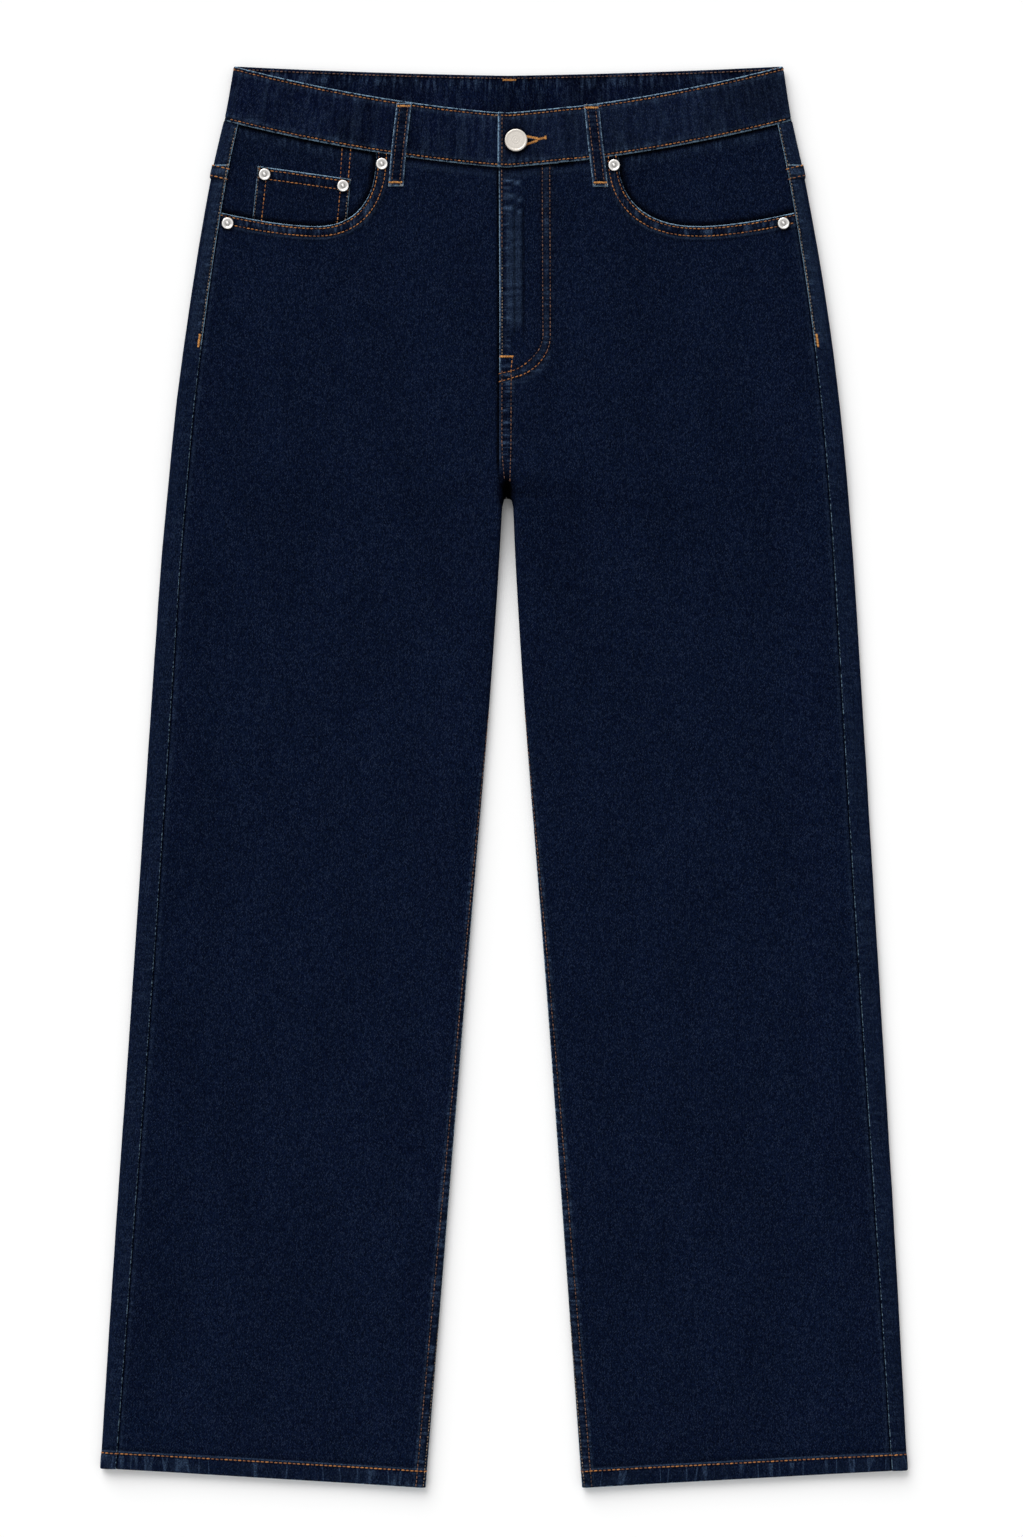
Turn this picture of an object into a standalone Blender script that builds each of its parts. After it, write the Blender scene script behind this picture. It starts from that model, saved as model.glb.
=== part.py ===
# Baggy five-pocket jeans, laid flat on their back: a faceted model of every cut-and-sewn piece.
# Sizes are in millimetres and become metres when a mesh is made.
# +Y runs from the hems to the waist, +Z up off the surface, +X to the wearer's left.
# A leg is worked out on its own side as a distance "across" from the centre line, then placed.

import math
from collections import namedtuple

import bmesh
import bpy

MM = 0.001

# Cloth
CLOTH = 1.2            # one layer of denim
HEM_WALL = 2.4         # the turned hem
BAND_WALL = 2.4        # the folded waistband
GAP = 0.3              # air between two pieces at a seam
ROLL = 3.0             # outer radius of a side fold

# Levels of the outer faces above the surface
HIP_LIFT = 1.5         # the seat lies on the back pockets and loops
HIP_TOP = HIP_LIFT + 2 * ROLL
FACING_TOP = 4.5
FACING_RISE = 1.1      # towards the waistband and the outseam
FLY_RAISE = 1.5        # the left front over the zip
FLY_SLOPE = (14.0, 44.0)       # across, down to the rest of the front
OVERLAP_RAISE = 2.7    # the waistband over its own underlap
BAND_UNDER = 1.5
BAND_TOP = 8.1

# Heights along Y
HEM_INNER = -533.5     # the hem at the inseam
HEM_RISE = 0.055       # the hem climbs this much per mm towards the outseam
HEM_DEPTH = 12.5
CROTCH = 208.3
YOKE_CENTRE = 415.0
YOKE_SIDE = 453.0
POCKET_LOW = 412.5
LIFT_RANGE = (185.0, 230.0)
OUTLINE_LOW = -520.0   # where the width at the hem is taken
OPENING_CUT = 520.0    # the pocket's cutter ends above the waistband

# How far the fronts sink onto the backs, where, and how far in from a fold
SAG = 2.7
SAG_END = (150.0, 235.0)
HEM_SAG_LESS = 1.9
HEM_SAG_END = (30.0, 110.0)    # above the hem
SAG_RUN = (12.0, 58.0)

# Waistband
BAND_HEIGHT = 41.0
FRONT_DIP = (497.2, 35.3)   # top edge at the centre front, and its rise to the side
BACK_DIP = (526.2, 7.0)
BAND_HALF = 212.0
OVERLAP_END = -7.5
UNDERLAP_END = 38.0
OVERLAP_RAMP = (40.0, 55.0)

# Seams
OUTSEAM_INSET = 11.9   # the outseam's distance inside the fold at both ends of the leg
OUTSEAM_SWING = 3.5    # and how much further in it runs at the thigh
CROTCH_WIDTH = 7.6
CROTCH_ROUND = 0.6
LEG_SPREAD = 0.0757    # the inner folds part by this much per mm
LEG_EASE = (1.45, 60.0)        # less by this, reached within this depth
LEG_BOW = (1.2, 157.0, 130.0)  # and less again round this depth
FLY_SHIFT = -6.7       # the fly edge lies this far right of the centre line
FLY_LAP = 5.9          # the right front reaches this far under the left

# Half widths of the garment laid flat, and where its centre line runs
Section = namedtuple("Section", "y outer middle")
SECTIONS = [
    Section(-520, 303.0, -0.3),
    Section(-348, 292.8, 0.5),
    Section(-198, 283.1, 1.2),
    Section(-48, 273.5, 1.6),
    Section(72, 265.8, 2.0),
    Section(162, 259.8, 2.3),
    Section(222, 254.6, 2.7),
    Section(282, 248.6, 2.8),
    Section(342, 240.7, 3.0),
    Section(402, 231.3, 2.8),
    Section(458, 220.9, 2.6),
    Section(500, 211.5, 2.8),
    Section(532, 206.0, 3.2),
]

HEM_ROWS = [0.0, 6.0, HEM_DEPTH - 0.7, HEM_DEPTH + 1.0]
LEG_ROWS = [-495, -460, -400, -320, -240, -160, -80, 0, 75, 135]
CROTCH_ROWS = [172, 188, 198, 204, 206.7, 207.7, 208.3, 214, 224, 238]
HIP_ROWS = [260, 300, 345, 390, 425, 458]
YOKE_ROWS = [0.0, 0.5, 1.0]

Pocket = namedtuple("Pocket", "side reach")
POCKETS = {"left": Pocket(1, 62.0), "right": Pocket(-1, 46.5)}
POCKET_MIDDLE = 145.0
POCKET_SQUARE = 2.4    # power of the ellipse
POCKET_EASE = 1.8      # closer points at the steep end
POCKET_SIDE = (80.0, 12.7, 1.6)    # length, rise and power of the side part
BACK_POCKET_INNER = (60.0, 46.0, 257.0, 404.0)      # across low and high, low and high
BACK_POCKET_OUTER = (176.0, 188.0, 262.0, 417.0)
BACK_POCKET_POINT = 16.0
FACING_LAP = 24.0      # the facing reaches this far behind the front
FACING_LOW = 376.0

Loop = namedtuple("Loop", "name top_x top_y low_x low_y front")
LOOPS = [
    Loop("belt_loop_front_right", -75.2, 504.6, -81.4, 442.2, True),
    Loop("belt_loop_front_left", 65.4, 503.4, 71.9, 442.0, True),
    Loop("belt_loop_centre_back", 3.9, 523.5, 3.6, 465.0, False),
    Loop("belt_loop_side_right", -186.0, 529.0, -190.0, 471.0, False),
    Loop("belt_loop_side_left", 192.0, 529.0, 196.0, 471.0, False),
]
LOOP_WIDTH = 11.3

Rivet = namedtuple("Rivet", "name x y level")
RIVETS = [
    Rivet("rivet_right_top", -91.7, 459.2, HIP_TOP),
    Rivet("rivet_right_side", -207.3, 414.6, HIP_TOP),
    Rivet("rivet_coin_outer", -179.7, 451.5, FACING_TOP + GAP + CLOTH),
    Rivet("rivet_coin_inner", -120.9, 442.9, FACING_TOP + GAP + CLOTH),
    Rivet("rivet_left_top", 82.3, 458.2, HIP_TOP),
    Rivet("rivet_left_side", 209.3, 414.6, HIP_TOP),
]
BUTTON_AT = (8.8, 476.1)
EYELET_RADIUS = 3.9
EYELET_DEPTH = 4.0
SLIT_SIZE = (14.5, 2.2, 3.9)
SLIT_SHIFT = (8.5, 0.2)

# Zip
ZIP_RANGE = (330.0, 454.0)
ZIP_CENTRE = 6.6
TAPE_SIZE = (22.0, 0.9)        # width and thickness
CHAIN_SIZE = (5.5, 2.2)
CHAIN_SHORT = 6.0
SHIELD = [(0.0, 326.0), (30.0, 340.0), (36.0, 456.5), (-6.0, 456.5)]
COIN_POCKET = [(-121.0, 384.5), (-191.5, 393.5), (-184.7, 457.9), (-115.2, 448.1)]

INDIGO = (0.012, 0.019, 0.040, 1.0)
INDIGO_WORN = (0.020, 0.030, 0.058, 1.0)
NICKEL = (0.62, 0.58, 0.53, 1.0)
ZIP_METAL = (0.40, 0.36, 0.28, 1.0)


def smooth(value, low=0.0, high=1.0):
    t = min(1.0, max(0.0, (value - low) / (high - low)))
    return t * t * (3 - 2 * t)


def mix(a, b, t):
    return a + (b - a) * t


def along(column, y):
    # A smooth curve through one column of SECTIONS.
    rows = SECTIONS
    y = min(rows[-1].y, max(rows[0].y, y))
    k = max(i for i in range(len(rows) - 1) if rows[i].y <= y)
    a, b = rows[k], rows[k + 1]
    before, after = rows[max(0, k - 1)], rows[min(len(rows) - 1, k + 2)]
    va, vb = getattr(a, column), getattr(b, column)
    span = b.y - a.y
    slope_a = (vb - getattr(before, column)) / (b.y - before.y) * span
    slope_b = (getattr(after, column) - va) / (after.y - a.y) * span
    t = (y - a.y) / span
    return (va * (1 + 2 * t) * (1 - t) ** 2 + slope_a * t * (1 - t) ** 2
            + vb * t * t * (3 - 2 * t) + slope_b * t * t * (t - 1))


def outer(y):
    return along("outer", y)


def middle(y):
    return along("middle", y)


def inner(y):
    # Half of the space between the legs, rounded off at the crotch.
    depth = max(0.0, CROTCH - y)
    bow = LEG_BOW[0] * math.exp(-((depth - LEG_BOW[1]) / LEG_BOW[2]) ** 2)
    spread = LEG_SPREAD * depth - LEG_EASE[0] * (1 - math.exp(-depth / LEG_EASE[1])) - bow
    return (CROTCH_WIDTH / 2 + spread) * (1 - math.exp(-depth / CROTCH_ROUND))


def outseam(y):
    lean = math.sin(math.pi * (y - HEM_INNER) / (BACK_DIP[0] - BAND_HEIGHT - HEM_INNER))
    return outer(y) - OUTSEAM_INSET - OUTSEAM_SWING * max(0.0, lean)


def lift(y):
    return HIP_LIFT * smooth(y, *LIFT_RANGE)


def in_seam_roll(y):
    # 1 where the inseam lies on the inner fold, 0 above the crotch.
    return 1.0 - smooth(y, CROTCH - 10, CROTCH)


def roll_angle(t, y):
    # From the inseam at the side of the fold to its top, in short steps next to the seam.
    start = 0.12 + 0.16 * smooth(y, CROTCH - 45, CROTCH - 15)
    return mix(start, math.pi / 2, t ** 2.2)


def lap(y):
    return smooth(y, CROTCH + 14, CROTCH + 40)


def front_edge(side, y):
    # The fronts' edge at the inseam, the crotch seam and the fly.
    edge = inner(y) + side * FLY_SHIFT * smooth(y, CROTCH - 6, CROTCH + 20) + GAP / 2
    return edge if side > 0 else edge - FLY_LAP * lap(y)


def sag(across, y):
    # The fronts sink onto the backs between the folds of a leg.
    hem = 1 - smooth(y - HEM_INNER, *HEM_SAG_END)
    depth = SAG * (1 - smooth(y, *SAG_END)) - HEM_SAG_LESS * hem
    from_fold = min(outer(y) - across, across - inner(y))
    return max(0.0, depth) * smooth(from_fold, *SAG_RUN)


def front_top(side, across, y):
    top = lift(y) + 2 * ROLL - sag(across, y)
    if side > 0:
        top += FLY_RAISE * (1 - smooth(across, *FLY_SLOPE)) * smooth(y, CROTCH - 2, CROTCH + 13)
    return top


def dip(across, line, half):
    t = min(1.0, abs(across) / half)
    return line[0] + line[1] * (0.48 * t + 0.52 * t * t)


def band_bottom(across, line=FRONT_DIP):
    return dip(across, line, BAND_HALF) - BAND_HEIGHT


def band_top_level(across):
    return BAND_TOP + OVERLAP_RAISE * (1 - smooth(across, *OVERLAP_RAMP))


def leg_y(rows, j, across, top):
    # A row's height: the hem slopes across the leg, and the last rows follow the top edge.
    base = rows[j]
    hem = HEM_RISE * (across - inner(HEM_INNER)) * (1 - smooth(base, HEM_INNER + 20, -250))
    return base + hem + (top - rows[-1]) * smooth(base, 240, rows[-1])


def leg_rows():
    return [HEM_INNER + r for r in HEM_ROWS] + LEG_ROWS + CROTCH_ROWS + HIP_ROWS


def spread(count):
    # Fractions from 0 to 1, closer together at both ends.
    return [k / count - 0.11 * math.sin(2 * math.pi * k / count) for k in range(count + 1)]


def place(side, across, y, z):
    return (side * across + middle(y), y, z)


def make_material(name, colour, roughness, metallic=0.0):
    material = bpy.data.materials.new(name)
    material.use_nodes = True
    shader = material.node_tree.nodes["Principled BSDF"]
    shader.inputs["Base Color"].default_value = colour
    shader.inputs["Roughness"].default_value = roughness
    shader.inputs["Metallic"].default_value = metallic
    return material


def add_object(name, mesh, look, location=(0, 0, 0), collection="baggy_jeans"):
    obj = bpy.data.objects.new(name, mesh)
    obj.location = [value * MM for value in location]
    bpy.data.collections[collection].objects.link(obj)
    if look:
        colour, roughness, metallic = look
        mesh.materials.append(make_material(name, colour, roughness, metallic))
    return obj


def sheet(name, columns, rows, point, wall=CLOTH, flip=False, look=(INDIGO, 0.85, 0.0)):
    # A grid of cloth whose outer face is given by point(i, j), thickened inwards.
    bm = bmesh.new()
    bmesh.ops.create_grid(bm, x_segments=columns, y_segments=rows, size=0.5)
    index = {}
    for vert in bm.verts:
        i = round((vert.co.x + 0.5) * columns)
        j = round((vert.co.y + 0.5) * rows)
        index[vert.index] = j
        vert.co = [value * MM for value in point(i, j)]
    if flip:
        bmesh.ops.reverse_faces(bm, faces=bm.faces)
    mesh = bpy.data.meshes.new(name)
    bm.to_mesh(mesh)
    bm.free()
    obj = add_object(name, mesh, look)
    thick = obj.modifiers.new("wall", "SOLIDIFY")
    thick.offset = -1
    thick.thickness = wall * MM
    return obj, index


def thicken_hem(obj, index):
    # The wall goes from one layer to the turned hem over the lowest rows.
    wall = obj.modifiers["wall"]
    wall.thickness = HEM_WALL * MM
    group = obj.vertex_groups.new(name="layers")
    hem_end = len(HEM_ROWS) - 1
    for vertex, row in index.items():
        group.add([vertex], 1.0 if row < hem_end else CLOTH / HEM_WALL, "REPLACE")
    wall.vertex_group = group.name


def cut(obj, cutter):
    tool = obj.modifiers.new("cut", "BOOLEAN")
    tool.operation = "DIFFERENCE"
    tool.solver = "EXACT"
    tool.object = cutter


def hide_cutter(obj):
    obj.hide_render = True
    obj.display_type = "WIRE"
    return obj


def opening_points(pocket):
    # The pocket's edge: a squarish quarter ellipse down from the waistband, then a slow rise.
    drop = band_bottom(POCKET_MIDDLE - pocket.reach) - POCKET_LOW
    points = []
    for k in range(15):
        run = 1 - (k / 14) ** POCKET_EASE
        fall = (1 - run ** POCKET_SQUARE) ** (1 / POCKET_SQUARE)
        points.append((POCKET_MIDDLE - pocket.reach * run, POCKET_LOW + drop * (1 - fall)))
    length, rise, power = POCKET_SIDE
    for k in range(1, 9):
        run = k / 8
        points.append((POCKET_MIDDLE + length * run, POCKET_LOW + rise * run ** power))
    return points


def opening_cutter(name, pocket):
    edge = opening_points(pocket)
    outline = edge + [(edge[-1][0], OPENING_CUT), (edge[0][0], OPENING_CUT)]
    bm = bmesh.new()
    verts = [bm.verts.new([v * MM for v in place(pocket.side, x, y, HIP_TOP - 2.5)]) for x, y in outline]
    face = bm.faces.new(verts)
    extruded = bmesh.ops.extrude_face_region(bm, geom=[face])
    for item in extruded["geom"]:
        if isinstance(item, bmesh.types.BMVert):
            item.co.z += 6 * MM
    bmesh.ops.recalc_face_normals(bm, faces=bm.faces)
    mesh = bpy.data.meshes.new(name)
    bm.to_mesh(mesh)
    bm.free()
    return hide_cutter(add_object(name, mesh, None, collection="cutters"))


def front_panel(label, pocket):
    side = pocket.side
    rows = leg_rows()
    roll = 5
    flats = spread(9)

    def point(i, j):
        t = 0.0 if i < roll else flats[i - roll]
        near = mix(front_edge(side, 470) + ROLL, outseam(470) - GAP / 2, t)
        rise_at = mix(inner(OUTLINE_LOW), outer(OUTLINE_LOW), t)
        y = leg_y(rows, j, rise_at, band_bottom(near) - GAP)
        turned = in_seam_roll(y)
        edge = front_edge(side, y)
        if i < roll:
            angle = roll_angle(i / roll, y)
            across = edge + mix(ROLL * i / roll, ROLL * (1 - math.cos(angle)), turned)
            drop = turned * ROLL * (1 - math.sin(angle))
        else:
            across = mix(edge + ROLL, outseam(y) - GAP / 2, t)
            drop = 0.0
        return place(side, across, y, front_top(side, across, y) - drop)

    obj, index = sheet("front_" + label, roll + 9, len(rows) - 1, point, flip=side < 0)
    thicken_hem(obj, index)
    cut(obj, opening_cutter("opening_" + label, pocket))


def back_columns():
    # Zones across a back: inner fold, underside, outer fold, and the strip rolled to the front.
    columns = [("inner", k / 5) for k in range(5)]
    columns += [("under", t) for t in spread(6)]
    columns += [("fold", k / 6) for k in range(1, 7)]
    return columns + [("strip", 0.5), ("strip", 1.0)]


def back_point(side, column, y):
    zone, t = column
    base = lift(y)
    turned = in_seam_roll(y)
    edge = inner(y) + GAP / 2
    far = outer(y)
    if zone == "inner":
        angle = roll_angle(t, y)
        across = edge + mix(ROLL * t, ROLL * (1 - math.cos(angle)), turned)
        z = base + turned * ROLL * (1 - math.sin(angle))
    elif zone == "under":
        across = mix(edge + ROLL, far - ROLL, t)
        z = base
    elif zone == "fold":
        across = far - ROLL + ROLL * math.sin(math.pi * t)
        z = base + ROLL * (1 - math.cos(math.pi * t))
    else:
        across = mix(far - ROLL, outseam(y) + GAP / 2, t)
        z = base + 2 * ROLL
    return place(side, across, y, z)


def column_share(column):
    return {"inner": 0.0, "under": column[1]}.get(column[0], 1.0)


def yoke_seam(t):
    return mix(YOKE_CENTRE, YOKE_SIDE, t)


def back_panel(label, side):
    rows = leg_rows()
    rows[-1] = YOKE_CENTRE
    columns = back_columns()
    rows = [y for y in rows if y <= YOKE_CENTRE]

    def point(i, j):
        t = column_share(columns[i])
        rise_at = mix(inner(OUTLINE_LOW), outer(OUTLINE_LOW), t)
        y = leg_y(rows, j, rise_at, yoke_seam(t) - GAP / 2)
        return back_point(side, columns[i], y)

    obj, index = sheet("back_" + label, len(columns) - 1, len(rows) - 1, point, flip=side > 0)
    thicken_hem(obj, index)


def yoke(label, side):
    columns = back_columns()

    def point(i, j):
        zone, t = columns[i]
        share = column_share(columns[i])
        across = back_point(1, columns[i], 485)[0] - middle(485)
        top = band_bottom(across, BACK_DIP)
        if zone == "fold":
            top = mix(top, band_bottom(across), t)
        elif zone == "strip":
            top = band_bottom(across)
        y = mix(yoke_seam(share) + GAP / 2, top - 2 * GAP, YOKE_ROWS[j])
        return back_point(side, columns[i], y)

    sheet("yoke_" + label, len(columns) - 1, len(YOKE_ROWS) - 1, point, flip=side > 0)


def facing_top(across, y):
    # Rises to the waistband and to the outseam, and lies low under the coin pocket.
    to_band = smooth(y, band_bottom(across) - 21, band_bottom(across) - 3)
    to_seam = smooth(across, outseam(y) - 17, outseam(y) - 3)
    return FACING_TOP + FACING_RISE * max(to_band, to_seam)


def pocket_facing(label, pocket):
    shares = [0.0, 0.2, 0.4, 0.6, 0.8, 0.88, 0.94, 1.0]
    levels = [0.0, 0.25, 0.5, 0.7, 0.8, 0.87, 0.94, 1.0]
    start = POCKET_MIDDLE - pocket.reach - FACING_LAP

    def point(i, j):
        guess = mix(start, outseam(470), shares[i])
        y = mix(FACING_LOW, band_bottom(guess) - GAP, levels[j])
        across = mix(start, outseam(y) - GAP / 2, shares[i])
        return place(pocket.side, across, y, facing_top(across, y))

    sheet("pocket_facing_" + label, len(shares) - 1, len(levels) - 1, point, flip=pocket.side < 0)


def patch(name, corners, level, columns=2, rows=2, flip=False, look=(INDIGO, 0.85, 0.0)):
    # A flat patch between four corners, from the low inner one round to the top inner one.
    low_in, low_out, top_out, top_in = corners

    def point(i, j):
        u, v = i / columns, j / rows
        x = mix(mix(low_in[0], low_out[0], u), mix(top_in[0], top_out[0], u), v)
        y = mix(mix(low_in[1], low_out[1], u), mix(top_in[1], top_out[1], u), v)
        return (x, y, level)

    return sheet(name, columns, rows, point, flip=flip, look=look)[0]


def back_pocket(label, side):
    # Flat top, sides that narrow downwards and a shallow point, on the underside of the seat.
    def point(i, j):
        u, v = i / 4, j / 3
        edges = zip(BACK_POCKET_INNER, BACK_POCKET_OUTER)
        across_low, across_high, low, high = [mix(a, b, u) for a, b in edges]
        low -= BACK_POCKET_POINT * (1 - abs(2 * u - 1))
        return place(side, mix(across_low, across_high, v), mix(low, high, v), 0.0)

    sheet("back_pocket_" + label, 4, 3, point, flip=side > 0)


def belt_loop(loop):
    rows = 8

    def point(i, j):
        v = j / rows
        x = mix(loop.low_x, loop.top_x, v) + (i / 2 - 0.5) * LOOP_WIDTH
        y = mix(loop.low_y, loop.top_y, v)
        if not loop.front:
            return (x, y, 0.0)
        below = smooth(band_bottom(x - middle(470)) - y, 2, 14)
        return (x, y, BAND_TOP + GAP + CLOTH - below * (BAND_TOP - HIP_TOP))

    sheet(loop.name, 2, rows, point, flip=not loop.front, look=(INDIGO_WORN, 0.85, 0.0))


def band_columns():
    # One strip: from the overlap end over the left front, round the back, to the underlap end.
    columns = [("left_front", t) for t in (0.0, 0.07, 0.15, 0.22, 0.245, 0.27, 0.3, 0.4, 0.55, 0.7, 0.85)]
    columns += [("left_fold", k / 6) for k in range(7)]
    columns += [("back", k / 12) for k in range(1, 12)]
    columns += [("right_fold", k / 6) for k in range(7)]
    return columns + [("right_front", k / 8) for k in range(1, 9)]


def band_point(zone, t, v):
    radius = (BAND_TOP - BAND_UNDER) / 2
    reach = outer(mix(493, 532, v)) - radius
    half = mix(BAND_HALF, outer(532), v)
    side, turn = 1, 0.0
    if zone == "left_front":
        across = mix(OVERLAP_END, reach, t)
        z = band_top_level(across)
    elif zone == "right_front":
        across = mix(reach, -UNDERLAP_END, t)
        side, z = -1, BAND_TOP
    elif zone == "back":
        across = mix(reach, -reach, t)
        turn, z = 1.0, BAND_UNDER
    else:
        side = 1 if zone == "left_fold" else -1
        turn = t if side > 0 else 1 - t
        across = reach + radius * math.sin(math.pi * turn)
        z = BAND_UNDER + radius * (1 + math.cos(math.pi * turn))
    top = mix(dip(across, FRONT_DIP, half), dip(across, BACK_DIP, half), turn)
    return place(side, across, top - BAND_HEIGHT * (1 - v), z)


def waistband():
    columns = band_columns()

    def point(i, j):
        zone, t = columns[i]
        return band_point(zone, t, j / 2)

    obj, _ = sheet("waistband", len(columns) - 1, 2, point, wall=BAND_WALL, look=(INDIGO_WORN, 0.85, 0.0))
    top = BAND_TOP + OVERLAP_RAISE
    x, y = BUTTON_AT
    bpy.ops.mesh.primitive_cylinder_add(vertices=20, radius=EYELET_RADIUS * MM, depth=EYELET_DEPTH * MM,
                                        location=(x * MM, y * MM, (top - 0.55) * MM))
    eyelet = move_to_cutters("buttonhole_eyelet")
    slit_at = (x + SLIT_SHIFT[0], y + SLIT_SHIFT[1], top - 0.5)
    bpy.ops.mesh.primitive_cube_add(size=1, location=[v * MM for v in slit_at])
    slit = move_to_cutters("buttonhole_slit")
    slit.scale = [v * MM for v in SLIT_SIZE]
    cut(obj, eyelet)
    cut(obj, slit)


def move_to_cutters(name):
    obj = bpy.context.active_object
    obj.name = name
    for collection in obj.users_collection:
        collection.objects.unlink(obj)
    bpy.data.collections["cutters"].objects.link(obj)
    return hide_cutter(obj)


def turned(name, profile, location, steps, look):
    # A profile of (radius, height) points, from the top of the axis down the outer side.
    mesh = bpy.data.meshes.new(name)
    edges = [(k, k + 1) for k in range(len(profile) - 1)]
    mesh.from_pydata([(r * MM, 0, z * MM) for r, z in profile], edges, [])
    obj = add_object(name, mesh, look, location)
    spin = obj.modifiers.new("turn", "SCREW")
    spin.steps = spin.render_steps = steps
    spin.use_merge_vertices = True
    spin.merge_threshold = 0.00005
    return obj


def button():
    # A tack button: dished disc with a raised rim, on a shank that stands on the underlap.
    base = OVERLAP_RAISE + GAP
    profile = [(0, base + 2.5), (2.0, base + 2.5), (2.6, base + 2.1), (6.2, base + 2.1), (7.0, base + 2.9),
               (8.0, base + 2.9), (8.5, base + 2.2), (8.5, base + 1.0), (7.6, base), (3.0, base),
               (3.0, GAP), (0, GAP)]
    turned("button", profile, (*BUTTON_AT, BAND_TOP), 28, (NICKEL, 0.38, 1.0))


def rivet(row):
    profile = [(0, 2.0), (0.9, 1.9), (1.3, 1.25), (2.8, 1.2), (3.5, 1.6), (4.2, 1.3), (4.5, 0.6), (4.3, 0.0),
               (0, 0)]
    turned(row.name, profile, (row.x, row.y, row.level + GAP), 14, (NICKEL, 0.35, 1.0))


def zip_fastener():
    # Closed chain on its tape, between the shield and the left front.
    length = ZIP_RANGE[1] - ZIP_RANGE[0]
    middle_y = sum(ZIP_RANGE) / 2
    floor = FACING_TOP + GAP
    width, thickness = TAPE_SIZE
    chain_width, chain_height = CHAIN_SIZE
    bpy.ops.mesh.primitive_cube_add(size=1)
    tape = bpy.context.active_object
    tape.name = "zip"
    tape.dimensions = (width * MM, length * MM, thickness * MM)
    tape.location = ((ZIP_CENTRE - 0.5) * MM, middle_y * MM, (floor + thickness / 2) * MM)
    bpy.context.collection.objects.unlink(tape)
    bpy.data.collections["baggy_jeans"].objects.link(tape)
    tape.data.materials.append(make_material("zip", ZIP_METAL, 0.4, 1.0))
    bpy.ops.mesh.primitive_cube_add(size=1)
    chain = move_to_cutters("zip_chain")
    chain.scale = (chain_width * MM, (length - CHAIN_SHORT) * MM, chain_height * MM)
    chain.location = (ZIP_CENTRE * MM, middle_y * MM, (floor + 1.25) * MM)
    join = tape.modifiers.new("chain", "BOOLEAN")
    join.operation = "UNION"
    join.solver = "EXACT"
    join.object = chain


def fly_shield():
    patch("fly_shield", SHIELD, FACING_TOP)


def coin_pocket():
    # Lies on the right facing and goes down under the edge of the right front.
    patch("coin_pocket", COIN_POCKET, FACING_TOP + GAP + CLOTH, flip=True)


def main():
    for obj in list(bpy.data.objects):
        bpy.data.objects.remove(obj)
    for name in ("baggy_jeans", "cutters"):
        bpy.context.scene.collection.children.link(bpy.data.collections.new(name))
    for label, pocket in POCKETS.items():
        front_panel(label, pocket)
        back_panel(label, pocket.side)
        yoke(label, pocket.side)
        pocket_facing(label, pocket)
        back_pocket(label, pocket.side)
    coin_pocket()
    fly_shield()
    zip_fastener()
    waistband()
    for loop in LOOPS:
        belt_loop(loop)
    button()
    for row in RIVETS:
        rivet(row)


main()
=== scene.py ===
import math

import bmesh
import bpy
import numpy as np
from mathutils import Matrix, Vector
from mathutils.bvhtree import BVHTree


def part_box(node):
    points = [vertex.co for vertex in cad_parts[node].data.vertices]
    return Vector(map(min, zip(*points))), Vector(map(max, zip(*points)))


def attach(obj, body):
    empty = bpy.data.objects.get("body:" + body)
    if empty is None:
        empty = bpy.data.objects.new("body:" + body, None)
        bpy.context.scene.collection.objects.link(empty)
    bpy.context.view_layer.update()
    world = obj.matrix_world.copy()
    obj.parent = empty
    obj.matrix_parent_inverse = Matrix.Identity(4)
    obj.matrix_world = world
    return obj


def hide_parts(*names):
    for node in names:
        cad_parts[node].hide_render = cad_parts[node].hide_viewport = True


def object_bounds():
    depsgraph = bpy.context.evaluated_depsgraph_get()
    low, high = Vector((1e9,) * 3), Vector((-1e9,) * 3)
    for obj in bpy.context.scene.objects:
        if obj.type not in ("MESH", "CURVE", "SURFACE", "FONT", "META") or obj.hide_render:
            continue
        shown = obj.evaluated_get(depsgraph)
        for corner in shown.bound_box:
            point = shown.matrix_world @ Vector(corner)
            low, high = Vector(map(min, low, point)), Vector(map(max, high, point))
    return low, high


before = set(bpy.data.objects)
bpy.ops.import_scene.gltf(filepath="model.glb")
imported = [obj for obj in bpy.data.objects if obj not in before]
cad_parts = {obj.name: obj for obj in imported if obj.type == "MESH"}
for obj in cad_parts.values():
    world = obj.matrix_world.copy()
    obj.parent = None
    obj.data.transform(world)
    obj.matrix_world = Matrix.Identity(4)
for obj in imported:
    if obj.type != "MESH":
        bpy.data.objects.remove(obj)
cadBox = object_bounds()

# Baggy jeans laid flat on their back. Lengths are millimetres until a mesh is made.
# "across" is the distance from the centre line of the garment, on either side.

mm = 0.001
cadLow = [v / mm for v in cadBox[0]]
cadHigh = [v / mm for v in cadBox[1]]

garment = dict(
    cloth=1.2, hemWall=2.4, bandWall=2.4, roll=3.0, hipLift=1.5,
    hemInner=cadLow[1], hemRise={1: 0.0525, -1: 0.0580}, hemDepth=12.3, crotch=208.3,
    liftLow=185.0, liftHigh=230.0, waist=cadHigh[1],
    crotchWidth=7.6, crotchRound=0.6, legSpread=0.0757, legEase=(1.45, 60), legBow=(1.2, 157, 130),
    outseamInset=11.9, outseamSwing=3.5, thighSag=2.7, hemSag=1.9,
    flyShift=-6.7, flyLap=5.9, flyRaise=1.5, yokeCentre=415.0, yokeSide=453.0,
    yokeLap=5.4, seam=0.15, sideTop=487,
)

# Heights where a leg and the hips are measured, a distance that means no edge is near, and how far in
# from their edges stitch rows run
footY, hipY, noEdge = -520, 470, 9.0
mouthRows, yokeRows, stripRow = (1.9, 7.5), (1.9, 8.2), 1.3

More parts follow.
